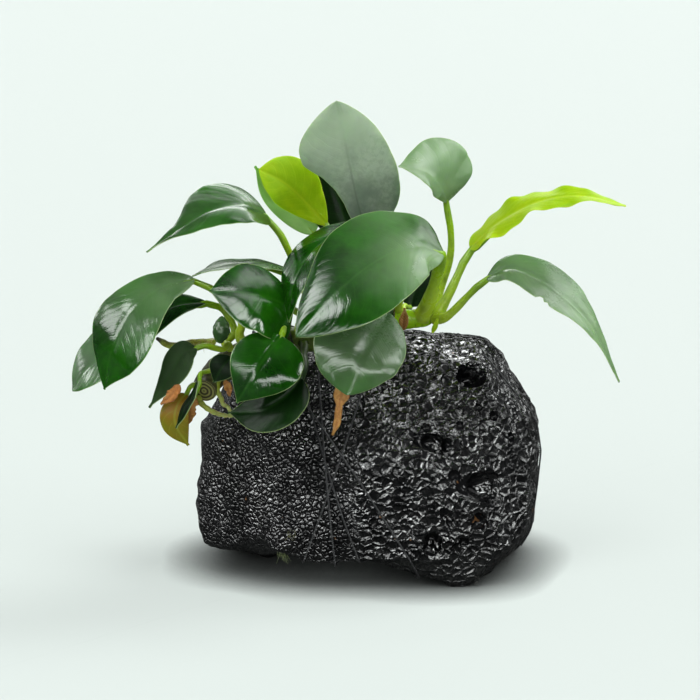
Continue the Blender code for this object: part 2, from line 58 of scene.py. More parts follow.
# Direction, half width, half height, strength and softness of each box.
LIGHTING = [
    ((-0.62, -0.56, 0.55), 0.24, 0.18, 7.0, 0.05), ((0.74, -0.40, 0.54), 0.16, 0.20, 6.0, 0.08),
    ((0.0, -0.34, 0.94), 0.50, 0.20, 6.0, 0.15), ((-0.1, -0.90, 0.42), 0.35, 0.10, 2.2, 0.25),
    ((0.86, 0.22, 0.46), 0.45, 0.35, 2.0, 0.2), ((-0.86, 0.22, 0.46), 0.45, 0.35, 1.8, 0.2),
    ((0.56, 0.32, 0.766), 0.22, 0.18, 20.0, 0.15),
]
MIRRORED = [
    ((-0.524, -0.395, 0.755), 0.18, 0.13, 12.0, 0.04), ((0.532, -0.551, 0.643), 0.17, 0.12, 11.0, 0.05),
    ((-0.807, -0.377, 0.454), 0.13, 0.24, 9.0, 0.06), ((-0.878, 0.252, 0.407), 0.12, 0.10, 9.0, 0.06),
    ((0.03, -0.95, 0.31), 0.62, 0.075, 9.0, 0.1), ((-0.307, -0.946, 0.105), 0.06, 0.08, 6.0, 0.1),
    ((-0.61, -0.61, 0.50), 0.06, 0.05, 22.0, 0.1), ((0.785, -0.453, 0.42), 0.08, 0.06, 20.0, 0.1),
    ((0.642, 0.022, 0.766), 0.25, 0.15, 3.0, 0.3), ((0.823, 0.267, 0.50), 0.30, 0.18, 3.0, 0.2),
    ((-0.86, 0.22, 0.46), 0.45, 0.35, 1.0, 0.2), ((0.0, 0.86, 0.50), 0.60, 0.07, 6.0, 0.2),
    ((0.0, 0.80, 0.60), 0.50, 0.20, 1.0, 0.25),
]


def link_object(name, data):
    """New object in the scene."""
    obj = bpy.data.objects.new(name, data)
    scene.collection.objects.link(obj)
    return obj


def add_camera():
    """Camera in front of the stone, looking slightly down."""
    data = bpy.data.cameras.new("camera")
    data.lens = 100
    data.sensor_width = 36
    camera = link_object("camera", data)
    away = Vector((0.0, -math.cos(CAMERA_TILT), math.sin(CAMERA_TILT)))
    camera.location = CAMERA_AIM + away * CAMERA_DISTANCE
    camera.rotation_euler = (-away).to_track_quat("-Z", "Y").to_euler()
    scene.camera = camera


def fill(tree, node, inputs):
    """Links a node's inputs to sockets, or sets them to values."""
    for label, source in inputs.items():
        if isinstance(source, bpy.types.NodeSocket):
            tree.links.new(source, node.inputs[label])
        else:
            node.inputs[label].default_value = source


def add_node(tree, kind, inputs=None, **settings):
    """New node with its settings and its inputs."""
    node = tree.nodes.new(kind)
    for label, setting in settings.items():
        setattr(node, label, setting)
    fill(tree, node, inputs or {})
    return node


def value_node(tree, operation, first, second=None, clamp=False):
    """Math node on sockets or numbers; returns its output."""
    inputs = {0: first} if second is None else {0: first, 1: second}
    return add_node(tree, "ShaderNodeMath", inputs, operation=operation, use_clamp=clamp).outputs[0]


def times(tree, first, second):
    """Product of two sockets or numbers."""
    return value_node(tree, "MULTIPLY", first, second)


def plus(tree, first, second, clamp=False):
    """Sum of two sockets or numbers."""
    return value_node(tree, "ADD", first, second, clamp)


def vector_node(tree, operation, first, second):
    """Vector math node; returns its output. A scale's factor and a dot product are numbers."""
    inputs = {0: first, "Scale" if operation == "SCALE" else 1: second}
    node = add_node(tree, "ShaderNodeVectorMath", inputs, operation=operation)
    return node.outputs["Value" if operation == "DOT_PRODUCT" else "Vector"]


def mix_values(tree, factor, first, second):
    """Mix of two numbers or sockets by a factor."""
    return add_node(tree, "ShaderNodeMix", {0: factor, 2: first, 3: second}).outputs[0]


def mix_colours(tree, factor, first, second):
    """Mix of two colours or colour sockets by a factor."""
    first, second = ((*tone, 1.0) if isinstance(tone, tuple) else tone for tone in (first, second))
    return add_node(tree, "ShaderNodeMix", {0: factor, 6: first, 7: second}, data_type="RGBA").outputs[2]


def band(tree, source, low, high, start=0.0, end=1.0):
    """Smooth step of a value from low to high, onto start to end."""
    inputs = {"Value": source, "From Min": low, "From Max": high, "To Min": start, "To Max": end}
    node = add_node(tree, "ShaderNodeMapRange", inputs, interpolation_type="SMOOTHSTEP")
    return node.outputs["Result"]


def soft_box(tree, direction, half_width, half_height, strength, soft):
    """Strength inside a rectangle of sky round a direction, 0 outside."""
    sky = add_node(tree, "ShaderNodeTexCoord").outputs["Generated"]
    axis = Vector(direction).normalized()
    across = axis.cross(Vector((0, 0, 1))).normalized()
    depth = vector_node(tree, "DOT_PRODUCT", sky, axis)
    level = value_node(tree, "GREATER_THAN", depth, 0.0)
    for side, half in ((across, half_width), (across.cross(axis), half_height)):
        slope = value_node(tree, "DIVIDE", vector_node(tree, "DOT_PRODUCT", sky, side), depth)
        inside = band(tree, value_node(tree, "ABSOLUTE", slope), half * (1 + soft), half * (1 - soft))
        level = times(tree, level, inside)
    return times(tree, level, strength)


def sky_level(tree, level, boxes):
    """An even level with soft boxes added to it."""
    for box in boxes:
        level = plus(tree, level, soft_box(tree, *box))
    return level


def add_room():
    """World: weak even light with bright soft boxes in it."""
    world = bpy.data.worlds.new("room")
    scene.world = world
    world.use_nodes = True
    tree = world.node_tree
    tree.nodes.clear()
    mirrored = add_node(tree, "ShaderNodeLightPath").outputs["Is Glossy Ray"]
    level = mix_values(tree, mirrored, sky_level(tree, EVEN_LIGHT, LIGHTING),
                       sky_level(tree, EVEN_MIRRORED, MIRRORED))
    background = add_node(tree, "ShaderNodeBackground",
                          {"Color": (0.97, 1.0, 0.985, 1.0), "Strength": level})
    add_node(tree, "ShaderNodeOutputWorld", {"Surface": background.outputs[0]})


def new_material(name):
    """Material with its tree, its Principled shader and its object coordinates."""
    material = bpy.data.materials.new(name)
    material.use_nodes = True
    tree = material.node_tree
    place = add_node(tree, "ShaderNodeTexCoord").outputs["Object"]
    return material, tree, tree.nodes["Principled BSDF"], place


@contextmanager
def editing(mesh, source=None):
    """Mesh open for editing, begun from a source mesh and written at the end."""
    bm = bmesh.new()
    if source:
        bm.from_mesh(source)
    yield bm
    bm.to_mesh(mesh)
    bm.free()


def add_floor():
    """Plain pale floor that reaches past every view, with painted contact shade: darker close under what
    stands on it.
    """
    mesh = bpy.data.meshes.new("floor")
    with editing(mesh) as bm:
        bmesh.ops.create_grid(bm, x_segments=1, y_segments=1, size=FLOOR_REACH)
    material, tree, shader, _ = new_material("floor")
    mirrored = add_node(tree, "ShaderNodeLightPath").outputs["Is Glossy Ray"]
    # Painted contact shade: ambient occlusion darkens the floor's colour and its glow close under the
    # stone. In glossy reflections the floor shows near black.
    near = add_node(tree, "ShaderNodeAmbientOcclusion", {"Distance": 0.016}, samples=8)
    painted_contact_shade = value_node(tree, "POWER", near.outputs["AO"], 1.9)
    tone = mix_colours(tree, mirrored, (0.167, 0.179, 0.174), (0.012, 0.013, 0.0125))
    lift = times(tree, painted_contact_shade, value_node(tree, "SUBTRACT", 1.0, mirrored))
    fill(tree, shader, {
        "Base Color": mix_colours(tree, painted_contact_shade, (0.0, 0.0, 0.0), tone), "Roughness": 0.75,
        "Emission Color": (0.823, 0.904, 0.863, 1.0), "Specular IOR Level": 0.2,
        "Emission Strength": times(tree, lift, 0.55)})
    mesh.materials.append(material)
    link_object("floor", mesh)


add_camera()
add_room()
add_floor()

# ---------------------------------------------------------------------------------------------
# Stone. A block of black lava rock, cast full of small bubbles, worn to a flat foot, and wet:
# every bump carries a glint. Where it faces the floor it is dry and matte, and painted grey for
# the floor's reflection.
# ---------------------------------------------------------------------------------------------
STONE_VOXEL = 0.00062
FINE_CELL = 1.7         # warts on the left side, in millimetres
WIDE_CELL = 2.5         # pits on the right side
COARSE_FROM = -8.0      # where warts begin to give way to pits, along x
COARSE_OVER = 24.0
FOOT_HEIGHT = 0.35      # below this the stone stays flat
# Places where the stone is fuller than the plain block: centre, reach in x, y and z, shift.
STONE_SWELLS = [
    ((-4.0, -26.0, 5.0), (22.0, 16.0, 12.0), (0.0, 0.0, -3.4)),
    ((-42.0, -20.0, 7.0), (14.0, 22.0, 13.0), (-2.6, 0.0, -3.2)),
]
# Open bubbles: centre in millimetres and radius.
BUBBLES = [
    ((36.5, -15.5, 62.5), 4.3), ((24.8, -27.5, 43.5), 3.0), ((40.8, -27.0, 30.5), 4.6),
    ((24.0, -32.0, 13.5), 2.8), ((-20.0, 33.5, 40.0), 4.0), ((30.0, 35.0, 28.0), 3.4),
    ((36.0, -26.0, 21.0), 2.7), ((28.0, -31.0, 22.5), 2.0), ((44.5, -24.0, 52.0), 1.6),
    ((22.0, -28.0, 50.0), 1.4), ((32.0, -27.0, 50.5), 1.2), ((38.0, -27.0, 56.0), 1.3),
    ((48.0, -20.0, 44.0), 1.5), ((30.0, -30.0, 35.0), 1.7), ((33.0, -30.0, 15.0), 1.5),
    ((52.0, 6.0, 50.0), 2.6), ((56.0, 12.0, 28.0), 3.0), ((54.0, -10.0, 22.0), 1.6),
    ((-47.0, 14.0, 32.0), 2.8), ((-44.0, 22.0, 18.0), 2.0), ((0.0, 38.0, 52.0), 2.4),
    ((-34.0, 32.0, 22.0), 2.2), ((14.0, 39.0, 16.0), 2.6), ((40.0, 34.0, 46.0), 2.0),
    ((10.0, 20.0, 66.0), 2.2), ((30.0, 12.0, 67.0), 2.8), ((42.0, 4.0, 64.0), 1.8),
]


def plain_copy(node, name):
    """Copy of a CAD node's mesh with its loose triangles joined."""
    mesh = bpy.data.meshes.new(name)
    with editing(mesh, node.data) as bm:
        bmesh.ops.remove_doubles(bm, verts=bm.verts, dist=0.000002)
    return link_object(name, mesh)


def settle(obj):
    """Object's modifiers turned into plain mesh."""
    graph = bpy.context.evaluated_depsgraph_get()
    mesh = bpy.data.meshes.new_from_object(obj.evaluated_get(graph))
    obj.modifiers.clear()
    obj.data = mesh
    return obj


def read_vectors(mesh, what):
    """Vertex positions ("co") or normals ("normal") as an array."""
    flat = np.empty(len(mesh.vertices) * 3, np.float32)
    mesh.vertices.foreach_get(what, flat)
    return flat.reshape(-1, 3).astype(float)


def add_value(mesh, name, values):
    """Float attribute on the vertices, for a material to read."""
    layer = mesh.attributes.new(name, "FLOAT", "POINT")
    layer.data.foreach_set("value", np.asarray(values, np.float32))


def sample_noise(points, scale, seed):
    """Smooth noise, about -1 to 1, at every point."""
    shift = Vector((seed * 7.3, seed * 3.1, seed * 5.7))
    return np.array([noise.noise(Vector(point) * scale + shift) for point in points])


def cell_distance(points, size, seed):
    """Distance to the nearest cell centre, in cells."""
    shift = Vector((seed * 4.7, seed * 9.2, seed * 2.3))
    return np.array([noise.voronoi(Vector(point) / size + shift)[0][0] for point in points])


def make_stone():
    """Fine mesh grown on the plain stone: lumps, warts, pits and open bubbles."""
    stone = plain_copy(nodes["stone"], "lava_stone")
    remesh = stone.modifiers.new("grid", "REMESH")
    remesh.mode = "VOXEL"
    remesh.voxel_size = STONE_VOXEL
    smooth = stone.modifiers.new("soften", "SMOOTH")
    smooth.factor = 0.5
    smooth.iterations = 6
    settle(stone)
    mesh = stone.data
    points = read_vectors(mesh, "co")
    normals = read_vectors(mesh, "normal")
    millimetres = points * 1000.0
    coarse = np.clip((millimetres[:, 0] - COARSE_FROM) / COARSE_OVER, 0.0, 1.0)
    fine = 0.5 - cell_distance(millimetres, FINE_CELL, 1)
    wide = 0.5 - cell_distance(millimetres, WIDE_CELL, 2)
    lumps = sample_noise(millimetres, 0.11, 3) * 0.55 + sample_noise(millimetres, 0.28, 4) * 0.40
    push = lumps + fine * 0.35 * (1 - coarse) - wide * 0.6 * coarse - 0.15
    foot = millimetres[:, 2] < FOOT_HEIGHT
    push[foot] = np.minimum(push[foot], 0.0) * 0.2
    points += normals * (push / 1000.0)[:, None]
    for centre, reach, shift in STONE_SWELLS:
        away = np.linalg.norm((millimetres - np.array(centre)) / np.array(reach), axis=1)
        fall = np.clip(1.0 - away ** 2, 0.0, 1.0) ** 1.5
        points += fall[:, None] * np.array(shift) / 1000.0
    hollow = np.zeros(len(points))
    for centre, radius in BUBBLES:
        nearest = int(np.argmin(np.linalg.norm(millimetres - np.array(centre), axis=1)))
        inward = normals[nearest]
        offset = millimetres - millimetres[nearest]
        depth = offset @ inward
        span = np.linalg.norm(offset - depth[:, None] * inward, axis=1) / radius
        near = np.abs(depth) < radius * 1.5
        cup = np.sqrt(np.clip(1.0 - span ** 2, 0.0, 1.0)) * near
        lip = np.exp(-((span - 1.12) / 0.14) ** 2) * near
        points -= inward * ((cup * 0.95 - lip * 0.10) * radius / 1000.0)[:, None]
        hollow = np.maximum(hollow, cup)
    points[:, 2] = np.maximum(points[:, 2], 0.0)
    mesh.vertices.foreach_set("co", points.astype(np.float32).ravel())
    mesh.update()
    # Facing down and near the floor the stone is dry: matte, without its wet coat, and painted grey, a
    # painted reflection of the pale floor as well as dry rock.
    dry = np.clip(0.55 - normals[:, 2] * 0.9 - millimetres[:, 2] * 0.045, 0.0, 1.0)
    dry += sample_noise(millimetres, 0.2, 6) * 0.25
    add_value(mesh, "dry", np.clip(dry, 0.0, 1.0))
    add_value(mesh, "hollow", hollow)
    mesh.shade_smooth()
    return stone


def noise_node(tree, vector, scale, detail=3.0, roughness=0.5):
    """Noise texture on a vector socket; returns its value."""
    inputs = {"Vector": vector, "Scale": scale, "Detail": detail, "Roughness": roughness}
    return add_node(tree, "ShaderNodeTexNoise", inputs).outputs[0]


def attribute_node(tree, name):
    """Value of a vertex attribute."""
    return add_node(tree, "ShaderNodeAttribute", attribute_name=name).outputs["Fac"]


def bump_node(tree, height, strength, distance):
    """Bump of a height; returns the normal."""
    inputs = {"Height": height, "Strength": strength, "Distance": distance}
    return add_node(tree, "ShaderNodeBump", inputs).outputs["Normal"]


def edge_cells(tree, vector, scale):
    """Distance to the nearest wall between cells."""
    inputs = {"Vector": vector, "Scale": scale}
    return add_node(tree, "ShaderNodeTexVoronoi", inputs, feature="DISTANCE_TO_EDGE").outputs["Distance"]


def stone_material():
    """Wet black lava: glossy warts, dark pits, a few rusty specks; underneath dry, matte and painted
    grey for the floor's reflection.
    """
    material, tree, shader, place = new_material("wet_lava")
    dry = attribute_node(tree, "dry")
    hollow = attribute_node(tree, "hollow")
    drift = add_node(tree, "ShaderNodeTexNoise", {"Vector": place, "Scale": 420.0}).outputs[1]
    shift = add_node(tree, "ShaderNodeVectorMath", {0: drift, 1: (0.0009, 0.0009, 0.0009), 2: place},
                     operation="MULTIPLY_ADD").outputs[0]
    edges, bowls = [], []
    for scale, reach in ((720.0, 0.36), (400.0, 0.42)):
        edges.append(value_node(tree, "DIVIDE", edge_cells(tree, shift, scale), reach, clamp=True))
        bowls.append(value_node(tree, "POWER", value_node(tree, "SUBTRACT", 1.0, edges[-1]), 2.0))
    parts = add_node(tree, "ShaderNodeSeparateXYZ", {0: place})
    ragged = times(tree, noise_node(tree, place, 60.0, 2.0), 0.5)
    coarse = plus(tree, band(tree, parts.outputs["X"], -0.008, 0.012), ragged)
    coarse = band(tree, coarse, 0.5, 0.9)
    warts = mix_values(tree, coarse, times(tree, bowls[0], -0.34), times(tree, bowls[1], 0.66))
    gap = mix_values(tree, coarse, band(tree, edges[0], 0.34, 0.10), band(tree, edges[1], 0.48, 0.80))
    pit = times(tree, gap, band(tree, hollow, 0.1, 0.4, 1.0, 0.0))
    grain = noise_node(tree, place, 1100.0, 4.0, 0.6)
    blotch = noise_node(tree, place, 120.0, 4.0, 0.6)
    tone = mix_colours(tree, band(tree, blotch, 0.35, 0.7), (0.0012, 0.0012, 0.0014),
                       (0.005, 0.005, 0.0055))
    # Dusty grain, painted paler grey where the floor's reflection would fall.
    dust_and_floor_sheen = mix_colours(tree, band(tree, grain, 0.35, 0.7), (0.012, 0.0125, 0.013),
                        (0.045, 0.045, 0.044))
    tone = mix_colours(tree, times(tree, dry, 0.85), tone, dust_and_floor_sheen)
    rust = noise_node(tree, place, 210.0, 2.0, 0.5)
    wet = band(tree, noise_node(tree, place, 300.0, 3.0, 0.6), 0.35, 0.7, 0.08, 0.22)
    rough = plus(tree, wet, times(tree, dry, 0.45), clamp=True)
    height = plus(tree, warts, times(tree, grain, 0.20))
    calm = value_node(tree, "SUBTRACT", 1.0, band(tree, hollow, 0.2, 0.6, 0.0, 0.93))
    relief = bump_node(tree, times(tree, height, calm), 1.0, 0.0010)
    shade = plus(tree, pit, band(tree, hollow, 0.35, 0.75, 0.0, 0.85))
    cover = value_node(tree, "SUBTRACT", 1.0, plus(tree, shade, dry), clamp=True)
    film = band(tree, noise_node(tree, place, 170.0, 3.0, 0.6), 0.38, 0.60, 0.35, 1.0)
    fill(tree, shader, {
        "Base Color": mix_colours(tree, band(tree, rust, 0.745, 0.76), tone, (0.16, 0.075, 0.03)),
        "Roughness": plus(tree, rough, times(tree, pit, 0.5), clamp=True),
        "Normal": relief, "Coat Normal": relief, "Specular IOR Level": 0.08,
        "Coat IOR": 2.15, "Coat Roughness": 0.06,
        "Coat Weight": times(tree, cover, film)})
    return material


def present(piece, replaced=None, material=None):
    """Finishes a piece: its material, the body it rides on, and the node it stands for, which it hides.
    """
    if material:
        piece.data.materials.append(material)
    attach(piece, "root")
    if replaced:
        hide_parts(replaced)


stone = make_stone()
stone.data.materials.clear()
present(stone, "stone", stone_material())

# ---------------------------------------------------------------------------------------------
# Leaves. Each one is a smooth stalk that runs on as the rib under its blade, and a leathery
# blade with a sunk midrib, side veins that curve to the margin, and a thin pale edge, its
# paleness partly a painted rim highlight. Some blades carry a pale painted sheen.
# ---------------------------------------------------------------------------------------------
BLADE_THICK = 0.55
LEAST_HALF = 0.45       # half width where a blade starts and ends
VEIN_SPACING = 3.1
BIG_HALF = 6            # blades wider than this on one side get the finer grid
BIG_GRID = (84, 14)     # rows from base to tip, and columns on each side
SMALL_GRID = (44, 9)
RHIZOME = [(25, -3, 75.5), (20, -3, 75.7), (15, -3, 75.2), (6, -4, 73.5), (-6, -6, 71.5),
           (-17, -9, 70), (-28, -12, 67.5), (-36, -14, 64), (-43, -15, 57.5)]
RHIZOME_RADII = [2.3, 3.1, 3.5, 3.9, 4.1, 4.2, 4.4, 4.2, 3.4]


@dataclass
class Leaf:
    """One leaf, in millimetres.

    root is where the stalk leaves the rhizome: a position in x and an angle round it, 0 up and
    -90 to the front. stalk and midrib are points along each, face is the way the upper side
    looks at the base and at the tip, left and right are the half widths beside the midrib.
    peak is where along the midrib the blade is widest, and point how far the tip is drawn out.
    fold lifts both halves into a V, curl turns the margins down, and wave ripples them.
    trim_left and trim_right scale the half widths at even steps from base to tip, painted_sheen is
    how much pale sheen is painted on at such steps, in place of the soft boxes' broad reflection,
    painted_sheen_sides scales that on the left and right margins, and notches are tears: side,
    place, width, depth.
    """

    name: str
    root: tuple
    stalk: list
    midrib: list
    face: list
    left: float
    right: float
    peak: float = 0.42
    point: float = 0.5
    fold: float = 0.12
    curl: float = 0.10
    wave: float = 0.0
    radius: float = 1.1
    finish: str = "mature"
    painted_sheen: tuple = (0, 0)
    painted_sheen_sides: tuple = (1, 1)
    trim_left: tuple = (1, 1)
    trim_right: tuple = (1, 1)
    notches: tuple = ()


LEAVES = [
    Leaf("crown", (7.8, 10), [(12.5, -1, 84), (9, 3, 93)],
         [(6, 4.5, 97.5), (2.5, 2, 108.5), (0, -1, 120.5), (-2, -4, 131.5), (-4, -6.5, 140.5)],
         [(-0.1, -0.93, 0.2), (-0.1, -0.85, 0.5)], 15.5, 13, peak=0.52, point=0.15, finish="dull",
         painted_sheen=(0, 0, 0.3, 0.6, 0.9, 1),
         trim_left=(0.3, 0.3, 0.3, 0.3, 0.38, 0.56, 0.88, 1.02, 1.12, 1.2, 1.25),
         trim_right=(1.3, 1.3, 1.1, 1, 1, 1)),
    Leaf("back_upper", (5.5, 30), [(4, 6, 82), (2, 13, 92)],
         [(0.5, 15, 96), (-3, 17.5, 107), (-7, 20, 117), (-10, 23, 125)],
         [(-0.3, -0.85, 0.3), (-0.4, -0.7, 0.5)], 10, 10, finish="shaded"),
    Leaf("young_left", (-1.5, 5), [(-1.5, 0, 84), (-5, 6.5, 95)],
         [(-7, 9, 102), (-12.5, 9, 108), (-19, 7, 114.5), (-27, 3, 119.5)],
         [(-0.25, -0.8, 0.5), (-0.2, -0.8, 0.5)], 7, 9, peak=0.5, point=0.3, finish="young",
         trim_left=(0.7, 0.75, 0.85, 1, 1.3, 1.8), trim_right=(0.6, 0.75, 0.9, 1.05, 1.2, 1.5)),
    Leaf("back_left", (-5, 35), [(-6, 8, 81), (-9, 17, 93)],
         [(-11, 19, 98), (-18, 20.5, 105), (-24.5, 21, 111), (-29, 20.5, 118.5)],
         [(-0.2, -0.85, 0.4), (-0.2, -0.85, 0.4)], 4.5, 8, finish="fresh", painted_sheen=(0.8, 0.8)),
    Leaf("left_upper", (-12, 15), [(-13.5, -2, 84), (-19.5, -3, 99)],
         [(-24.5, -4, 107), (-32, -10, 110.5), (-41, -16, 109.5), (-49, -20, 105),
          (-58, -24, 99)],
         [(-0.1, -0.52, 0.85), (-0.35, -0.45, 0.8)], 10.5, 11, peak=0.34, point=1.0,
         painted_sheen=(0.15, 0.1, 0.3),
         trim_left=(1.1, 1.05, 1, 1, 1), trim_right=(1.5, 1.25, 1.05, 0.55, 0.7)),
    Leaf("left_flat", (-5.5, -15), [(-7, -9, 80), (-11.5, -6.5, 87)],
         [(-16, -5, 90), (-26, -9, 93), (-36.5, -14, 93.5), (-45.5, -18, 91)],
         [(0.05, -0.05, 1.0), (-0.15, -0.05, 1.0)], 9, 9, painted_sheen=(0.4, 0.4)),
    Leaf("left_glossy", (-14.6, -35), [(-14.5, -15.5, 77), (-14.5, -19, 80)],
         [(-16.5, -21, 82.5), (-23, -25.5, 86), (-31, -30, 88.5), (-39.5, -33, 89.5)],
         [(0.1, -0.75, 0.65), (-0.35, -0.8, 0.45)], 10, 9.5, curl=0.2,
         trim_left=(2.5, 1.35, 1.1, 1.35, 1.8), trim_right=(1, 1, 1.1, 1.3, 1.8)),
    Leaf("left_long", (-30.2, 10), [(-32, -12, 77), (-38, -14.5, 85)],
         [(-45, -17, 90), (-54.5, -23, 88.5), (-63, -28, 81.5), (-68, -29.5, 71),
          (-70.5, -27, 59.5)],
         [(-0.2, -0.75, 0.62), (-0.55, -0.75, 0.35)], 8.5, 10.5, peak=0.5,
         painted_sheen=(0.8, 0.5, 0.2, 0, 0),
         trim_left=(1, 1, 1.25, 1.6, 1.9, 1.6), trim_right=(1, 0.8, 0.85, 1, 1.05, 1.1)),
    Leaf("left_under", (-33.8, 30), [(-34, -9, 73), (-37, -8, 79)],
         [(-42, -9, 82), (-52, -12, 81), (-64, -16, 74), (-75, -18, 65), (-81, -18, 57)],
         [(-0.2, -0.6, 0.77), (-0.5, -0.6, 0.6)], 8, 9, peak=0.55, point=0.2, painted_sheen=(0, 0, 0.15, 0.2),
         trim_left=(1, 1, 1.1, 1.3, 1.7), trim_right=(1, 1, 1, 1.25, 1.7)),
    Leaf("front_low", (-21, -55), [(-20.5, -19.5, 74.5), (-19, -26.5, 77.5)],
         [(-19.5, -30.5, 76), (-23.5, -35, 71.5), (-27.5, -37.5, 65.5), (-32, -37, 58)],
         [(0.0, -0.8, 0.6), (-0.1, -0.98, 0.1)], 9.5, 9,
         trim_left=(1.7, 1.3, 1.15, 1, 1)),
    Leaf("on_stone", (-14.6, -95), [(-13.5, -19, 68), (-13, -26, 66)],
         [(-14, -29.5, 63.5), (-18, -32.5, 59), (-25, -33, 55), (-35, -28, 53)],
         [(0.1, -0.85, 0.5), (-0.3, -0.8, 0.5)], 7.5, 7, finish="shaded"),
    Leaf("front_big", (21.5, -20), [(23.5, -7, 82.5), (25.5, -13, 91.5)],
         [(27, -20, 98), (19, -25, 101), (8, -31, 98), (-4, -37, 89.5), (-15, -41, 78)],
         [(-0.1, -0.76, 0.65), (-0.3, -0.84, 0.45)], 16.5, 17.5, peak=0.46, point=0.15,
         curl=0.18, radius=1.7, painted_sheen=(1.0, 1.0, 0.45, 0.08, 0, 0), painted_sheen_sides=(1.0, 0.35),
         trim_left=(0.8, 0.82, 0.9, 1, 1), trim_right=(1, 1, 0.92, 0.74, 0.7)),
    Leaf("front_back", (14.8, -10), [(15, -6, 84), (14, -7, 91)],
         [(11.5, -8, 95), (1, -9.5, 101.5), (-9, -15, 99.5), (-15.5, -22, 91), (-17.5, -27, 79)],
         [(-0.35, -0.45, 0.8), (-0.8, -0.5, 0.3)], 9, 8,
         trim_left=(1, 1, 1, 1.2, 1.5), trim_right=(1, 1, 1.05, 1.4, 2.2)),
    Leaf("front_hang", (12, -75), [(12, -14, 79), (12, -18.5, 82)],
         [(11, -21.5, 81), (6.5, -29, 76), (2, -34, 69), (-1, -35.5, 60)],
         [(0.1, -0.85, 0.5), (0.0, -1.0, 0.05)], 12, 15, peak=0.45, point=0.2, curl=0.16,
         painted_sheen=(0.3, 0.35, 0.45, 0.45),
         trim_left=(1, 0.95, 0.95, 1.1, 1.4), trim_right=(1, 1, 1, 1.1, 1.5)),
    Leaf("back_right", (16.3, 55), [(16.5, 2.5, 78.6), (17.2, 4.8, 77.6)],
         [(18.3, 7, 77.5), (20, 11, 82.5), (22, 15.5, 87), (24.5, 20, 91.5)],
         [(0.1, -0.8, 0.5), (0.1, -0.8, 0.5)], 6.5, 6, radius=0.8, finish="shaded"),
    Leaf("right_top", (24, 50), [(26.2, 1.3, 81.5), (30, 1.5, 95)],
         [(29, 1.5, 110), (27.5, -0.5, 114), (24.5, -3, 118), (20, -5.5, 120.5), (14, -7.5, 121.5)],
         [(0.15, -0.75, 0.62), (-0.2, -0.62, 0.75)], 6.5, 14.5, peak=0.4, painted_sheen=(0.75, 0.75),
         trim_left=(0.5, 0.85, 1, 1), trim_right=(1.2, 1.15, 1, 0.9, 1)),
    Leaf("young_right", (25, 0), [(28.3, -3, 81), (31.7, -2.2, 88)],
         [(35.5, -0.5, 96.5), (43, -3, 104), (55, -6, 111), (67.5, -8, 113), (80.5, -8, 110)],
         [(-0.2, -0.35, 0.9), (0.0, -0.4, 0.9)], 6.5, 6, wave=0.14, radius=1.3, finish="young",
         trim_left=(1.7, 1.3, 1, 1, 1, 1.8), trim_right=(1.8, 1.35, 1, 1, 1, 1.8)),
    Leaf("right_long", (24.8, -70), [(29, -7, 77.5), (35, -8.7, 84)],
         [(40, -10, 89.5), (48, -14, 92.5), (59.5, -18, 86.5), (70, -19.5, 76), (78.5, -18, 59.5)],
         [(0.1, -0.55, 0.83), (0.55, -0.45, 0.7)], 8.5, 7.5, peak=0.38, radius=1.1,
         painted_sheen=(0.45, 0.5, 0.8, 1.0),
         trim_left=(1, 1, 1.1, 1.1, 0.8, 0.55, 1), trim_right=(1, 1, 1, 0.9, 0.7, 0.55, 1),
         notches=((1, 0.37, 0.012, 0.30), (1, 0.405, 0.008, 0.16))),
    Leaf("small_droop", (-34, -20), [(-37, -18, 69.5), (-41.5, -20.5, 71)],
         [(-44.5, -22, 71), (-48, -25, 70), (-51.5, -27, 64), (-58, -26, 54)],
         [(-0.2, -0.85, 0.5), (-0.5, -0.85, 0.1)], 4, 3.6, radius=0.9, finish="shaded",
         painted_sheen=(0.5, 0.6, 0.7),
         trim_left=(1.3, 1.3, 1.0, 0.8), trim_right=(1.5, 1.2, 0.8, 0.7)),
    Leaf("small_twist", (-38, -75), [(-41.5, -23, 64), (-43, -26, 64)],
         [(-43.5, -28, 62.5), (-45, -30, 58.5), (-47.5, -31, 54.5), (-50, -30, 49)],
         [(-0.9, -0.4, 0.1), (-0.7, -0.6, 0.1)], 2.5, 2.5, radius=0.7, finish="shaded"),
    Leaf("old_yellow", (-41.5, -45), [(-44, -20, 60), (-46, -22, 59.5)],
         [(-47.5, -23, 57.5), (-50, -24.5, 54), (-50.5, -25, 49), (-47, -23, 42)],
         [(-0.5, -0.8, 0.1), (0.1, -0.95, 0.0)], 4.5, 4.5, radius=0.8, finish="old"),
    Leaf("small_round", (-31, -60), [(-31.5, -20.5, 69.5), (-32.5, -24, 70)],
         [(-34, -26.5, 69), (-36.5, -28.5, 66.5), (-39, -28.5, 62)],
         [(-0.1, -0.9, 0.4), (-0.2, -0.95, 0.1)], 4, 4, radius=0.8, finish="shaded"),
]

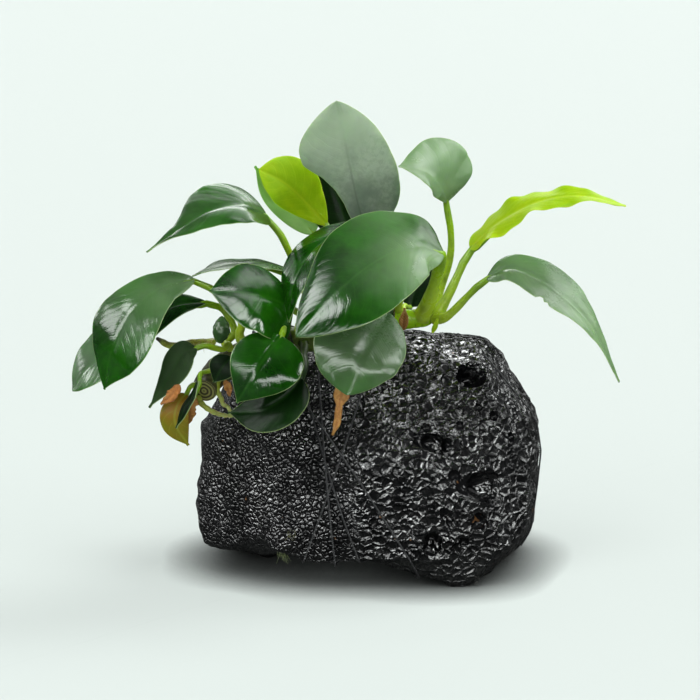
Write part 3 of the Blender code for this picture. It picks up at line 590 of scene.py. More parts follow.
# Dry remains of old leaves: blades with no stalk left.
REMAINS = [
    Leaf("dried_sheath", None, None,
         [(-1.5, -30, 61.5), (-3, -32.5, 57), (-3.5, -33, 52), (-5, -32.5, 47.5)],
         [(0.1, -0.95, 0.2), (-0.3, -0.9, 0.0)], 2.6, 2.8, wave=0.5, finish="dry",
         trim_left=(1.6, 1.1, 0.4, 0.4, 0.8, 0.7), trim_right=(1.8, 1.0, 0.3, 0.5, 0.7, 0.5)),
    Leaf("tip_sheath", None, None,
         [(15.6, -9.2, 73.5), (16, -9.5, 77), (16, -8.5, 80)],
         [(-0.6, -0.8, 0.1), (-0.6, -0.8, 0.1)], 1.6, 1.6, finish="dry"),
    Leaf("old_sheath", None, None,
         [(24.4, -9.5, 72.6), (25.1, -10, 74.8), (25.7, -10, 77)],
         [(0.4, -0.9, 0.1), (0.4, -0.9, 0.1)], 0.9, 0.9, finish="young"),
    Leaf("dried_scrap", None, None,
         [(-48.5, -31, 62), (-51, -32.5, 59), (-54, -32, 56.5)],
         [(-0.2, -0.9, 0.3), (-0.4, -0.8, 0.3)], 1.8, 1.6, wave=0.3, finish="dry"),
]


def at_even_steps(place, values):
    """Value at a place from 0 to 1 along values that stand at even steps."""
    return np.interp(place, np.linspace(0.0, 1.0, len(values)), values)


def smooth_path(points, count):
    """Evenly spaced vectors on a smooth curve through the given points."""
    knots = [Vector(point) for point in points]
    knots = [knots[0] * 2 - knots[1]] + knots + [knots[-1] * 2 - knots[-2]]
    dense = []
    for a, b, c, d in zip(knots, knots[1:], knots[2:], knots[3:]):
        for step in range(24):
            t = step / 24
            dense.append(0.5 * ((2 * b) + (c - a) * t + (2 * a - 5 * b + 4 * c - d) * t ** 2
                                + (3 * b - a - 3 * c + d) * t ** 3))
    dense.append(knots[-2])
    walked = [0.0]
    for before, after in zip(dense, dense[1:]):
        walked.append(walked[-1] + (after - before).length)
    path = []
    at = 0
    for index in range(count):
        goal = walked[-1] * index / (count - 1)
        while at < len(walked) - 2 and walked[at + 1] < goal:
            at += 1
        share = (goal - walked[at]) / (walked[at + 1] - walked[at])
        path.append(dense[at].lerp(dense[at + 1], share))
    return path


def tangents(path):
    """Direction of travel at every point of a path."""
    ends = [path[0] * 2 - path[1]] + path + [path[-1] * 2 - path[-2]]
    return [(after - before).normalized() for before, after in zip(ends, ends[2:])]


def rhizome_at(x):
    """Centre and radius of the rhizome where it passes x, and its direction there."""
    count = 60
    path = smooth_path(RHIZOME, count)
    index = min(range(count), key=lambda i: abs(path[i].x - x))
    radius = float(at_even_steps(index / (count - 1), RHIZOME_RADII))
    return path[index], radius, tangents(path)[index]


def link_mesh(name, points, faces):
    """Smooth object from points in millimetres and faces, its normals outward."""
    mesh = bpy.data.meshes.new(name)
    mesh.from_pydata([Vector(point) * 0.001 for point in points], [], faces)
    with editing(mesh, mesh) as bm:
        bmesh.ops.recalc_face_normals(bm, faces=bm.faces)
    mesh.shade_smooth()
    return link_object(name, mesh)


def skin_faces(rings, sides):
    """Faces of a closed skin over rings, fanned at both ends to the two points after them."""
    first_tip = rings * sides
    faces = []
    for ring in range(rings - 1):
        for side in range(sides):
            after = (side + 1) % sides
            faces.append((ring * sides + side, ring * sides + after,
                          (ring + 1) * sides + after, (ring + 1) * sides + side))
    last = (rings - 1) * sides
    for side in range(sides):
        after = (side + 1) % sides
        faces.append((after, side, first_tip))
        faces.append((last + side, last + after, first_tip + 1))
    return faces


def blade_outline(leaf, t):
    """Half width of an ovate blade at t along its midrib, 1 at the widest place."""
    warped = t ** (math.log(0.5) / math.log(leaf.peak))
    return math.sin(math.pi * min(warped, 1.0)) ** (0.62 + leaf.point * t)


class BladeFrame:
    """Where a blade's midrib runs and which way its upper side looks, at any t."""

    def __init__(self, leaf):
        self.leaf = leaf
        self.path = smooth_path(leaf.midrib, 241)
        self.along = tangents(self.path)

    def at(self, t):
        """Centre, direction to the tip, direction to the right margin, and up."""
        place = t * 240
        low = min(int(place), 239)
        share = place - low
        centre = self.path[low].lerp(self.path[low + 1], share)
        along = self.along[low].lerp(self.along[low + 1], share).normalized()
        face = Vector(self.leaf.face[0]).lerp(Vector(self.leaf.face[1]), t)
        side = along.cross(face).normalized()
        return centre, along, side, side.cross(along)


def add_values(mesh, labels, rows):
    """Float attributes from one row of numbers a vertex."""
    for label, column in zip(labels, np.array(rows, float).T):
        add_value(mesh, label, column)


def make_blade(leaf, name, stations, spokes):
    """Thin closed blade with rounded margins, a sunk midrib and a gentle unevenness."""
    frame_of = BladeFrame(leaf)
    steps = np.linspace(0.0, 1.0, stations)
    places = 0.35 * steps + 0.65 * (0.5 - 0.5 * np.cos(np.pi * steps))
    places = 0.004 + places * 0.99
    top = np.sin(np.linspace(-1.0, 1.0, 2 * spokes + 1) * math.pi / 2)
    under = top[-2:0:-1]
    points, rows = [], []
    seed = Vector((leaf.midrib[0][0], leaf.midrib[-1][2], 0.0))
    for t in places:
        centre, along, side, up = frame_of.at(t)
        outline = blade_outline(leaf, t)
        thick = BLADE_THICK * (1.0 - 0.45 * t) / 2
        half_left = max(leaf.left * outline * float(at_even_steps(t, leaf.trim_left)), LEAST_HALF)
        half_right = max(leaf.right * outline * float(at_even_steps(t, leaf.trim_right)), LEAST_HALF)
        for tear_side, middle, width, depth in leaf.notches:
            cut = 1.0 - depth * math.exp(-((t - middle) / width) ** 2)
            half_left *= cut if tear_side < 0 else 1.0
            half_right *= cut if tear_side > 0 else 1.0
        for below, row in ((0, top), (1, under)):
            for across in row:
                half = half_left if across < 0 else half_right
                ripple = leaf.wave * math.sin(t * 17.0 + (2.0 if across < 0 else 0.0))
                ripple += 0.45 * leaf.wave * math.sin(t * 41.0 + (0.7 if across < 0 else 2.1))
                height = half * (leaf.fold * abs(across) + (ripple - leaf.curl) * across ** 2)
                spread = half * across
                flat = centre + side * spread + up * height
                away = abs(across)
                height = 0.55 * noise.noise(flat * 0.10 + seed) * min(away * 2.0, 1.0)
                height += 0.30 * noise.noise(flat * 0.26 + seed) * away ** 2
                crest = math.exp(-(spread / 0.55) ** 2) * (1.0 - 0.75 * t)
                lift = thick * math.sqrt(max(0.0, 1.0 - away ** 6))
                if below:
                    lift = -lift - 0.10 * crest
                else:
                    lift -= 0.30 * crest
                points.append(flat + up * (height + lift))
                rows.append((t, across, half, below))
    points += [frame_of.path[0].copy(), frame_of.path[-1].copy()]
    rows += [(0.0, 0.0, 0.4, 0.0), (1.0, 0.0, 0.4, 0.0)]
    blade = link_mesh(name, points, skin_faces(stations, 4 * spokes))
    add_values(blade.data, ("along", "across", "half", "under"), rows)
    length = sum((b - a).length for a, b in zip(frame_of.path, frame_of.path[1:]))
    add_value(blade.data, "veins", [length / VEIN_SPACING] * len(points))
    # Pale sheen painted on at each vertex, in place of the soft boxes' broad reflection.
    along_values, across_values = np.array(rows).T[:2]
    pale = at_even_steps(along_values, leaf.painted_sheen)
    pale *= np.interp(across_values, (-0.5, 0.5), leaf.painted_sheen_sides)
    add_value(blade.data, "painted_sheen", pale)
    return blade


def ring_frames(path, across):
    """Place and two sideways directions at every point of a path, twisting as little as can be."""
    for centre, along in zip(path, tangents(path)):
        across = (across - along * across.dot(along)).normalized()
        yield centre, across, along.cross(across)


def make_tube(name, path, radii, sides, squash=None):
    """Closed tube along a path in millimetres, with rounded ends."""
    ways = tangents(path)
    points = []
    for index, (centre, across, third) in enumerate(ring_frames(path, ways[0].orthogonal())):
        for step in range(sides):
            angle = math.tau * step / sides
            size = radii[index] * (squash(index, angle) if squash else 1.0)
            points.append(centre + (across * math.cos(angle) + third * math.sin(angle)) * size)
    count = len(path)
    points.append(path[0] - ways[0] * radii[0] * 0.5)
    points.append(path[-1] + ways[-1] * radii[-1] * 0.5)
    tube = link_mesh(name, points, skin_faces(count, sides))
    add_value(tube.data, "along", [index // sides / (count - 1) for index in range(count * sides)]
              + [0.0, 1.0])
    return tube


# Stalks that leave the growing tip in a straight fan, each wrapped in a wide sheath at its foot.
STRAIGHT = ("right_top", "young_right", "right_long", "front_big")


def make_stalk(leaf):
    """Stalk from inside the rhizome to the blade, running on as the rib underneath it."""
    centre, girth, along = rhizome_at(leaf.root[0])
    angle = math.radians(leaf.root[1])
    outward = Vector((0.0, math.sin(angle), math.cos(angle)))
    outward = (outward - along * outward.dot(along)).normalized()
    start = centre + outward * (girth - 0.5)
    points = [start, centre + outward * (girth + 1.8 + 0.25 * leaf.radius)]
    if leaf.name in STRAIGHT:
        points = [centre + outward * girth * 0.2]
    points += [Vector(point) for point in leaf.stalk]
    points.append(Vector(leaf.midrib[0]))
    count = 26
    path = smooth_path(points, count)
    radii = [leaf.radius * (1.35 - 0.25 * min(index / 8, 1.0) - 0.22 * index / count)
             for index in range(count)]
    if leaf.name in STRAIGHT:
        radii = [radius * (1.0 + 0.30 * max(0.0, 1.0 - index / 14) ** 1.3)
                 for index, radius in enumerate(radii)]
    frame_of = BladeFrame(leaf)
    below = frame_of.at(0.0)[3] * radii[-1] * 0.8
    path = [point - below * max(0.0, 1.0 - (count - 1 - index) / 5)
            for index, point in enumerate(path)]
    last = radii[-1]
    for step in range(1, 23):
        t = step / 30
        middle, _, _, up = frame_of.at(t)
        radius = last * (1.0 - t / 0.78) + 0.14
        path.append(middle - up * (radius * 0.95 + 0.10 * min(t / 0.10, 1.0)))
        radii.append(radius)
    seed = leaf.root[0]

    def uneven(index, angle):
        return 1.0 + 0.05 * math.sin(index * 0.7 + seed) + 0.03 * math.cos(3 * angle + seed)

    return make_tube("stalk_of_" + leaf.name, path, radii, 12, uneven)


def group_with(name, kind, inputs, outputs):
    """Node group with named sockets; returns it, its input sockets and its last node."""
    group = bpy.data.node_groups.new(name, kind)
    for way, sockets in (("INPUT", inputs), ("OUTPUT", outputs)):
        for label, socket in sockets.items():
            group.interface.new_socket(label, in_out=way, socket_type="NodeSocket" + socket)
    return group, group.nodes.new("NodeGroupInput").outputs, group.nodes.new("NodeGroupOutput")


def leaf_pattern():
    """Masks of a blade: side veins, midrib, margin (painted pale, partly as a rim highlight), fine net,
    and the relief of them all.
    """
    group, source, sink = group_with(
        "leaf_pattern", "ShaderNodeTree",
        {"Place": "Vector", "Along": "Float", "Across": "Float", "Half Width": "Float",
         "Vein Count": "Float"},
        dict.fromkeys(("Vein", "Midrib", "Margin", "Net", "Height"), "Float"))
    place = source["Place"]
    away = value_node(group, "ABSOLUTE", source["Across"])
    sweep = times(group, value_node(group, "POWER", away, 1.35), 0.24)
    wander = times(group, noise_node(group, place, 220.0, 2.0), 0.055)
    course = plus(group, value_node(group, "SUBTRACT", source["Along"], sweep), wander)
    phase = times(group, course, source["Vein Count"])
    turn = value_node(group, "PINGPONG", phase, 0.5)
    small = value_node(group, "PINGPONG", times(group, phase, 4.0), 0.5)
    small = band(group, small, 0.30, 0.0)
    middle = times(group, away, source["Half Width"])
    rim = times(group, value_node(group, "SUBTRACT", 1.0, away), source["Half Width"])
    net = band(group, edge_cells(group, place, 900.0), 0.10, 0.02)
    vein = times(group, band(group, turn, 0.10, 0.0), band(group, middle, 0.2, 1.2))
    height = times(group, band(group, turn, 0.0, 0.5), 0.55)
    for line, depth in ((vein, 0.35), (small, 0.16), (net, 0.10)):
        height = value_node(group, "SUBTRACT", height, times(group, line, depth))
    fill(group, sink, {"Vein": vein, "Midrib": band(group, middle, 0.55, 0.12), "Net": net,
                       "Margin": band(group, rim, 0.28, 0.04), "Height": height})
    return group


PATTERN = leaf_pattern()


def leaf_material(name, deep, light, vein_colour, under_colour, smooth, dull, relief=0.10,
                  glow=0.25, vein=0.16, midrib=0.30, net=0.05, mottle=0.12, specular=0.5,
                  margin_and_rim_highlight_colour=(0.34, 0.44, 0.20), painted_sheen_colour=(0.17, 0.27, 0.13)):
    """Leathery blade: two greens, veins, painted sheen, pale margin with painted rim highlight; smooth
    and dull are its roughnesses.
    """
    material, tree, shader, place = new_material(name)
    pattern = add_node(tree, "ShaderNodeGroup", {
        "Place": place, "Along": attribute_node(tree, "along"),
        "Across": attribute_node(tree, "across"), "Half Width": attribute_node(tree, "half"),
        "Vein Count": attribute_node(tree, "veins")}, node_tree=PATTERN)
    blotch = noise_node(tree, place, 70.0, 4.0, 0.6)
    tone = mix_colours(tree, band(tree, blotch, 0.32, 0.70), deep, light)
    speckle = band(tree, noise_node(tree, place, 650.0, 3.0, 0.65), 0.42, 0.62, 0.0, mottle)
    tone = mix_colours(tree, speckle, tone, deep)
    strength = times(tree, pattern.outputs["Vein"], vein)
    for label, share in (("Midrib", midrib), ("Net", net)):
        line = times(tree, pattern.outputs[label], share)
        strength = value_node(tree, "MAXIMUM", strength, line)
    tone = mix_colours(tree, strength, tone, vein_colour)
    # Painted sheen: the blade's colour goes pale in patches where its vertex value asks, a painted
    # reflection of the soft boxes.
    sheen_patches = band(tree, noise_node(tree, place, 45.0, 3.0, 0.6), 0.30, 0.62, 0.45, 1.0)
    painted_sheen_mask = times(tree, attribute_node(tree, "painted_sheen"), sheen_patches)
    under = attribute_node(tree, "under")
    tone = mix_colours(tree, under, mix_colours(tree, painted_sheen_mask, tone, painted_sheen_colour), under_colour)
    # The margin is painted pale: paler thin tissue, with a painted rim highlight on top.
    edge = times(tree, pattern.outputs["Margin"], 0.6)
    rough = band(tree, noise_node(tree, place, 40.0, 2.0, 0.5), 0.46, 0.60, smooth, dull)
    grain = noise_node(tree, place, 1500.0, 2.0)
    for source, share in ((grain, 0.10), (painted_sheen_mask, 0.16), (under, 0.15)):
        rough = plus(tree, rough, times(tree, source, share), clamp=True)
    pores = noise_node(tree, place, 2600.0, 2.0)
    height = plus(tree, pattern.outputs["Height"], times(tree, pores, 0.12))
    fill(tree, shader, {
        "Base Color": mix_colours(tree, edge, tone, margin_and_rim_highlight_colour), "Roughness": rough,
        "Normal": bump_node(tree, height, relief, 0.0003), "Specular IOR Level": specular,
        "Subsurface Weight": glow, "Subsurface Scale": 0.0012,
        "Subsurface Radius": (0.5, 1.0, 0.2)})
    return material


def stalk_material(name, foot, top):
    """Smooth stalk with fine dark streaks, paler at its foot where it leaves the rhizome."""
    material, tree, shader, place = new_material(name)
    streak = noise_node(tree, place, 240.0, 3.0)
    tone = mix_colours(tree, band(tree, attribute_node(tree, "along"), 0.0, 0.6), foot, top)
    tone = mix_colours(tree, band(tree, streak, 0.4, 0.75, 0.0, 0.5), tone,
                       tuple(value * 0.4 for value in top))
    fine = noise_node(tree, place, 1300.0, 2.0)
    fill(tree, shader, {
        "Base Color": tone, "Roughness": band(tree, streak, 0.3, 0.7, 0.22, 0.42),
        "Normal": bump_node(tree, fine, 0.25, 0.0002), "Subsurface Weight": 0.3,
        "Subsurface Scale": 0.0015, "Subsurface Radius": (0.7, 1.0, 0.25)})
    return material


FINISHES = {
    "mature": ("leaf", leaf_material(
        "leaf", (0.0020, 0.024, 0.0008), (0.009, 0.078, 0.0014), (0.02, 0.10, 0.006),
        (0.04, 0.11, 0.025), 0.06, 0.18)),
    "dull": ("dull_leaf", leaf_material(
        "dull_leaf", (0.09, 0.13, 0.095), (0.28, 0.335, 0.26), (0.035, 0.065, 0.03),
        (0.05, 0.12, 0.03), 0.42, 0.55, vein=0.05, midrib=0.5, net=0.06, relief=0.13,
        mottle=0.45, painted_sheen_colour=(0.40, 0.48, 0.35))),
    "shaded": ("shaded_leaf", leaf_material(
        "shaded_leaf", (0.0008, 0.006, 0.0006), (0.0025, 0.018, 0.001), (0.012, 0.05, 0.005),
        (0.03, 0.08, 0.02), 0.24, 0.42, specular=0.10, painted_sheen_colour=(0.05, 0.095, 0.035))),
    "fresh": ("fresh_leaf", leaf_material(
        "fresh_leaf", (0.035, 0.14, 0.002), (0.075, 0.24, 0.003), (0.12, 0.28, 0.008),
        (0.09, 0.22, 0.015), 0.18, 0.34, glow=0.4, specular=0.4,
        painted_sheen_colour=(0.24, 0.42, 0.12))),
    "young": ("young_leaf", leaf_material(
        "young_leaf", (0.20, 0.33, 0.0008), (0.29, 0.41, 0.0012), (0.34, 0.45, 0.012),
        (0.30, 0.40, 0.006), 0.34, 0.46, glow=0.55, vein=0.3, midrib=0.5, net=0.12,
        margin_and_rim_highlight_colour=(0.38, 0.46, 0.03), specular=0.12)),
    "old": ("old_leaf", leaf_material(
        "old_leaf", (0.17, 0.17, 0.003), (0.28, 0.12, 0.006), (0.26, 0.26, 0.02),
        (0.26, 0.17, 0.015), 0.34, 0.5, glow=0.3, specular=0.25, vein=0.4, midrib=0.6,
        margin_and_rim_highlight_colour=(0.2, 0.09, 0.01))),
    "dry": ("dried_leaf", leaf_material(
        "dried_leaf", (0.32, 0.11, 0.015), (0.55, 0.29, 0.08), (0.16, 0.05, 0.01),
        (0.42, 0.22, 0.06), 0.45, 0.65, mottle=0.5, relief=1.0, glow=0.15,
        margin_and_rim_highlight_colour=(0.13, 0.04, 0.012))),
}
STALK_FINISH = stalk_material("stalk", (0.38, 0.52, 0.03), (0.17, 0.33, 0.004))
# Stalks that lie in shadow get a darker copy of the stalk colours: painted shade.
SHADED_STALK_FINISH = stalk_material("shaded_stalk", (0.03, 0.06, 0.006), (0.006, 0.03, 0.002))
SHADED_STALKS = ("on_stone", "front_hang", "small_round", "back_upper")
for leaf in LEAVES + REMAINS:
    grid = BIG_GRID if max(leaf.left, leaf.right) > BIG_HALF else SMALL_GRID
    piece = make_blade(leaf, leaf.name + "_leaf", *grid)
    slot_name, finish = FINISHES[leaf.finish]
    node_name = "blade_" + leaf.name if leaf.stalk else leaf.name
    present(piece, node_name, finish)
for leaf in LEAVES:
    finish = SHADED_STALK_FINISH if leaf.name in SHADED_STALKS else STALK_FINISH
    present(make_stalk(leaf), "stalk_" + leaf.name, finish)

# Crumbs of dead leaf that cling to the old leaf and to the cut end.
SCRAPS = [
    Leaf("scrap_by_old_leaf", None, None,
         [(-45.5, -23.5, 57), (-46, -25, 54.5), (-46.3, -25, 51.5), (-47.5, -24.5, 48)],
         [(-0.2, -0.9, 0.2), (-0.4, -0.9, 0.1)], 2.0, 1.6, wave=0.6, finish="dry",
         trim_left=(1.2, 1.3, 0.7, 1.1, 0.8), trim_right=(1, 0.7, 1.2, 0.8, 1)),
    Leaf("scrap_by_cut_end", None, None,
         [(-36.3, -21.5, 61), (-35.3, -22.5, 59), (-34.8, -22, 56.5)],
         [(0.2, -0.9, 0.3), (-0.3, -0.9, 0.0)], 1.3, 1.1, wave=0.6, finish="dry"),
]
for leaf in SCRAPS:
    present(make_blade(leaf, leaf.name, *SMALL_GRID), material=FINISHES["dry"][1])

# ---------------------------------------------------------------------------------------------
# Bud. A young leaf that is still rolled up like a cigar: one dark green blade wound round
# itself, with its free edge as a step that runs round it from foot to tip.
# ---------------------------------------------------------------------------------------------
BUD = [(-37.6, -21, 72.3), (-37.3, -21.4, 75), (-37.1, -21, 77.3), (-36.9, -20.5, 79.6)]
BUD_GIRTH = [1.0, 2.1, 2.75, 2.6, 2.0, 0.7]
BUD_RINGS = 44
BUD_SIDES = 48


def bud_section(index, angle):
    """Radius of a rolled sheet: it grows with the angle and drops back at the free edge."""
    turn = (angle / math.tau + 0.62 + index * 0.006) % 1.0
    return 0.84 + 0.24 * turn + 0.03 * math.sin(index * 0.5 + 3 * angle)


bud_radii = at_even_steps(np.linspace(0.0, 1.0, BUD_RINGS), BUD_GIRTH).tolist()
bud = make_tube("bud_rolled", smooth_path(BUD, BUD_RINGS), bud_radii, BUD_SIDES, bud_section)
# The bud carries a little of the painted sheen too.
for label, value in (("across", 0.5), ("half", 3.0), ("under", 0.0), ("veins", 5.0),
                     ("painted_sheen", 0.25)):
    add_value(bud.data, label, [value] * len(bud.data.vertices))
present(bud, "bud", FINISHES["mature"][1])

# ---------------------------------------------------------------------------------------------
# Rhizome. A creeping stem as thick as a pencil, ringed with the scars of old leaves: bright and
# smooth at the growing tip, brown and dirty towards the old end, which was cut off.
# ---------------------------------------------------------------------------------------------
CUT_END = [(-41, -16.5, 60), (-42.3, -21.5, 58)]


def make_rhizome():
    """Stem with a raised rounded ring at every leaf scar, a blunt tip and a flat cut end."""
    count, sides = 150, 40
    path = smooth_path(RHIZOME[:-1] + CUT_END, count)
    ways = tangents(path)
    points, rows = [], []
    for index, (centre, across, third) in enumerate(ring_frames(path, Vector((0, 0, 1)))):
        age = index / (count - 1)
        radius = float(at_even_steps(age, RHIZOME_RADII))
        if age < 0.05:
            radius *= math.sqrt(max(1.0 - (1.0 - age / 0.05) ** 2, 0.04))
        for step in range(sides):
            angle = math.tau * step / sides
            outward = across * math.cos(angle) + third * math.sin(angle)
            tilt = 0.35 * math.sin(angle + age * 40.0)
            ring = (age * 24.0 + tilt) % 1.0
            swell = 0.055 * math.sin(math.pi * ring) ** 0.6 - 0.03
            rough = 0.25 * noise.noise((centre + outward * radius) * 0.35) * (0.3 + age)
            points.append(centre + outward * (radius * (1.0 + swell) + rough))
            rows.append((age, 1.0 - math.sin(math.pi * ring) ** 0.5, 0.0))
    rim = points[-sides:]
    for share in (0.92, 0.8, 0.6, 0.4, 0.2):
        raised = ways[-1] * (0.12 if share < 0.9 else 0.0)
        points += [path[-1].lerp(rim_point, share) + raised for rim_point in rim]
        rows += [(1.0, 0.0, share)] * sides
    points += [path[0] - ways[0] * 0.2, path[-1] + ways[-1] * 0.15]
    rows += [(0.0, 0.0, 0.0), (1.0, 0.0, 0.02)]
    stem = link_mesh("rhizome_stem", points, skin_faces(count + 5, sides))
    add_values(stem.data, ("age", "scar", "cut"), rows)
    return stem


def rhizome_material():
    """Yellow-green at the tip through olive to brown, dark in the scars, ringed where cut."""
    material, tree, shader, place = new_material("rhizome")
    cut = attribute_node(tree, "cut")
    blotch = noise_node(tree, place, 330.0, 4.0, 0.6)
    shifted = plus(tree, attribute_node(tree, "age"), times(tree, blotch, 0.25))
    tone = mix_colours(tree, band(tree, shifted, 0.24, 0.50), (0.25, 0.46, 0.004),
                       (0.10, 0.17, 0.010))
    tone = mix_colours(tree, band(tree, shifted, 0.5, 0.9), tone, (0.060, 0.058, 0.014))
    dark = times(tree, band(tree, attribute_node(tree, "scar"), 0.35, 0.9), 0.75)
    tone = mix_colours(tree, dark, tone, (0.022, 0.016, 0.006))
    rings = value_node(tree, "PINGPONG", times(tree, cut, 3.2), 0.5)
    face = mix_colours(tree, band(tree, rings, 0.15, 0.4), (0.030, 0.022, 0.006),
                       (0.26, 0.26, 0.07))
    fine = noise_node(tree, place, 800.0, 4.0, 0.6)
    fill(tree, shader, {
        "Base Color": mix_colours(tree, band(tree, cut, 0.0, 0.02), tone, face),
        "Roughness": band(tree, shifted, 0.2, 0.9, 0.14, 0.5),
        "Normal": bump_node(tree, fine, 0.5, 0.0004),
        "Subsurface Weight": 0.2, "Subsurface Scale": 0.0015})
    return material


rhizome = make_rhizome()
present(rhizome, "rhizome", rhizome_material())

# ---------------------------------------------------------------------------------------------
# Roots and remains of stalks. Stout pale roots that have taken hold of the stone, and the soft
# stub of a stalk whose blade has gone.
# ---------------------------------------------------------------------------------------------
BROKEN_STALK = [(-39.5, -14.5, 71), (-46, -16, 71), (-52, -17.5, 70.5), (-56, -19, 73)]
ROOTS = [
    ("root_down", [(-38.5, -19, 61), (-38.7, -21.5, 57), (-39, -22.5, 52)], 0.75),
    ("root_slant", [(-44, -21, 56), (-42.5, -23.5, 53.3), (-39.5, -24, 50.5)], 0.8),
    ("root_front", [(-22, -18, 64), (-23, -23, 60), (-24, -28, 53)], 0.6),
]


def surface_tree(obj):
    """Search tree over an object's own mesh."""
    bm = bmesh.new()
    bm.from_mesh(obj.data)
    tree = BVHTree.FromBMesh(bm)
    bm.free()
    return tree


def root_material():
    """Pale root, greener at its start, with a clean light tip."""
    material, tree, shader, place = new_material("root")
    along = attribute_node(tree, "along")
    blotch = noise_node(tree, place, 380.0, 3.0, 0.6)
    tone = mix_colours(tree, band(tree, along, 0.1, 0.8), (0.26, 0.32, 0.02), (0.46, 0.50, 0.16))
    tone = mix_colours(tree, band(tree, blotch, 0.5, 0.75, 0.0, 0.8), tone, (0.07, 0.05, 0.02))
    fine = noise_node(tree, place, 1000.0, 3.0)
    fill(tree, shader, {
        "Base Color": tone, "Roughness": band(tree, blotch, 0.3, 0.7, 0.3, 0.5),
        "Normal": bump_node(tree, fine, 0.4, 0.0003),
        "Subsurface Weight": 0.3, "Subsurface Scale": 0.001})
    return material


stone_surface = surface_tree(stone)
ROOT_FINISH = root_material()
for name, points, radius in ROOTS:
    path = []
    for index, point in enumerate(smooth_path(points, 26)):
        nearest, normal, _, _ = stone_surface.find_nearest(point * 0.001)
        held = nearest * 1000.0 + normal * (radius * 0.7)
        wander = noise.noise(point * 0.22) * 0.6
        path.append(point.lerp(held, (index / 25) ** 3) + Vector((wander, 0, 0)))
    path = smooth_path(path[::3] + [path[-1]], 40)
    radii = [radius * (1.15 - 0.55 * index / 39 + 0.10 * math.sin(index * 1.1)) for index in range(40)]
    present(make_tube(name + "_live", path, radii, 12), name, ROOT_FINISH)

stub_path = smooth_path(BROKEN_STALK, 30)
stub_radii = [float(np.interp(index / 29, (0, 0.5, 0.85, 1), (1.1, 1.0, 1.0, 0.5)))
              for index in range(30)]


def stub_section(index, angle):
    """Flattened, ridged section of the soft stub."""
    return 0.9 + 0.14 * math.sin(5 * angle + index * 0.12) + 0.05 * math.sin(index * 1.3)


def stub_material():
    """Soft spent stalk: olive yellow with brown streaks, black where it has rotted off."""
    material, tree, shader, place = new_material("spent_stalk")
    along = attribute_node(tree, "along")
    streak = noise_node(tree, place, 420.0, 4.0, 0.6)
    tone = mix_colours(tree, band(tree, streak, 0.4, 0.65), (0.36, 0.43, 0.04), (0.18, 0.18, 0.02))
    tone = mix_colours(tree, band(tree, along, 0.88, 0.97), tone, (0.03, 0.022, 0.008))
    fill(tree, shader, {
        "Base Color": tone, "Roughness": 0.4, "Normal": bump_node(tree, streak, 0.6, 0.0004),
        "Subsurface Weight": 0.2, "Subsurface Scale": 0.001})
    return material


stub = make_tube("stub_of_stalk", stub_path, stub_radii, 20, stub_section)
present(stub, "broken_stalk", stub_material())

# ---------------------------------------------------------------------------------------------
# Thread. Fine black sewing thread of two twisted plies, wound tight round the stone and the
# rhizome, so that it lies straight from one high place to the next.
# ---------------------------------------------------------------------------------------------
THREAD_TURNS = [
    ("thread_1", (4, -31, 31), (1.0, 0.30, 0.62), 3),
    ("thread_2", (-6, 0, 40), (1.0, -0.05, 0.10), 2),
    ("thread_3", (-4, 0, 36), (1.0, 0.0, -0.35), 1),
    ("thread_4", (-5, 0, 40), (1.0, -0.1, 0.34), 0),
]
SIDE_STRAND = ((30, -5, 40), (0.05, 1.0, 0.05), 31.0, 3.0)
THREAD_RADIUS = 0.30
THREAD_LAYER = 0.36     # how far each turn lies over the one below
THREAD_GAP = 0.06
TWIST_LENGTH = 0.0013   # in metres, as the steps along the thread
THREAD_STEP = 0.00026


def section_points(objects, point, normal):
    """Points in millimetres where a plane cuts the edges of the objects' meshes."""
    found = []
    for obj in objects:
        points = read_vectors(obj.data, "co") * 1000.0
        pairs = np.empty(len(obj.data.edges) * 2, np.int32)
        obj.data.edges.foreach_get("vertices", pairs)
        first, second = points[pairs[0::2]], points[pairs[1::2]]
        over_first = (first - np.array(point)) @ np.array(normal)
        over_second = (second - np.array(point)) @ np.array(normal)
        crossing = over_first * over_second < 0
        share = over_first[crossing] / (over_first[crossing] - over_second[crossing])
        found.append(first[crossing] + (second[crossing] - first[crossing]) * share[:, None])
    return np.vstack(found)


def taut_loop(objects, point, normal, clearance):
    """Corners of a loop drawn tight round what a plane cuts, standing clear by the clearance."""
    point = Vector(point)
    normal = Vector(normal).normalized()
    first = normal.orthogonal().normalized()
    second = normal.cross(first)
    away = section_points(objects, point, normal) - np.array(point)
    rows = np.stack((away @ np.array(first), away @ np.array(second)), axis=1)
    hull = convex_hull_2d([Vector(row) for row in rows.tolist()])
    flat = []
    for index in hull:
        for step in range(12):
            angle = math.tau * step / 12
            flat.append(Vector((rows[index][0] + clearance * math.cos(angle),
                                rows[index][1] + clearance * math.sin(angle))))
    corners = [flat[index] for index in convex_hull_2d(flat)]
    kept = [corners[0]]
    for corner in corners[1:]:
        if (corner - kept[-1]).length > 0.5 and (corner - corners[0]).length > 0.5:
            kept.append(corner)
    return [point + first * corner.x + second * corner.y for corner in kept]


def end_tree(tree, sink, geometry, material):
    """Last nodes of a tree: instances made real, and the material put on."""
    realize = add_node(tree, "GeometryNodeRealizeInstances", {0: geometry})
    finish = add_node(tree, "GeometryNodeSetMaterial",
                      {"Geometry": realize.outputs[0], "Material": material})
    fill(tree, sink, {0: finish.outputs[0]})


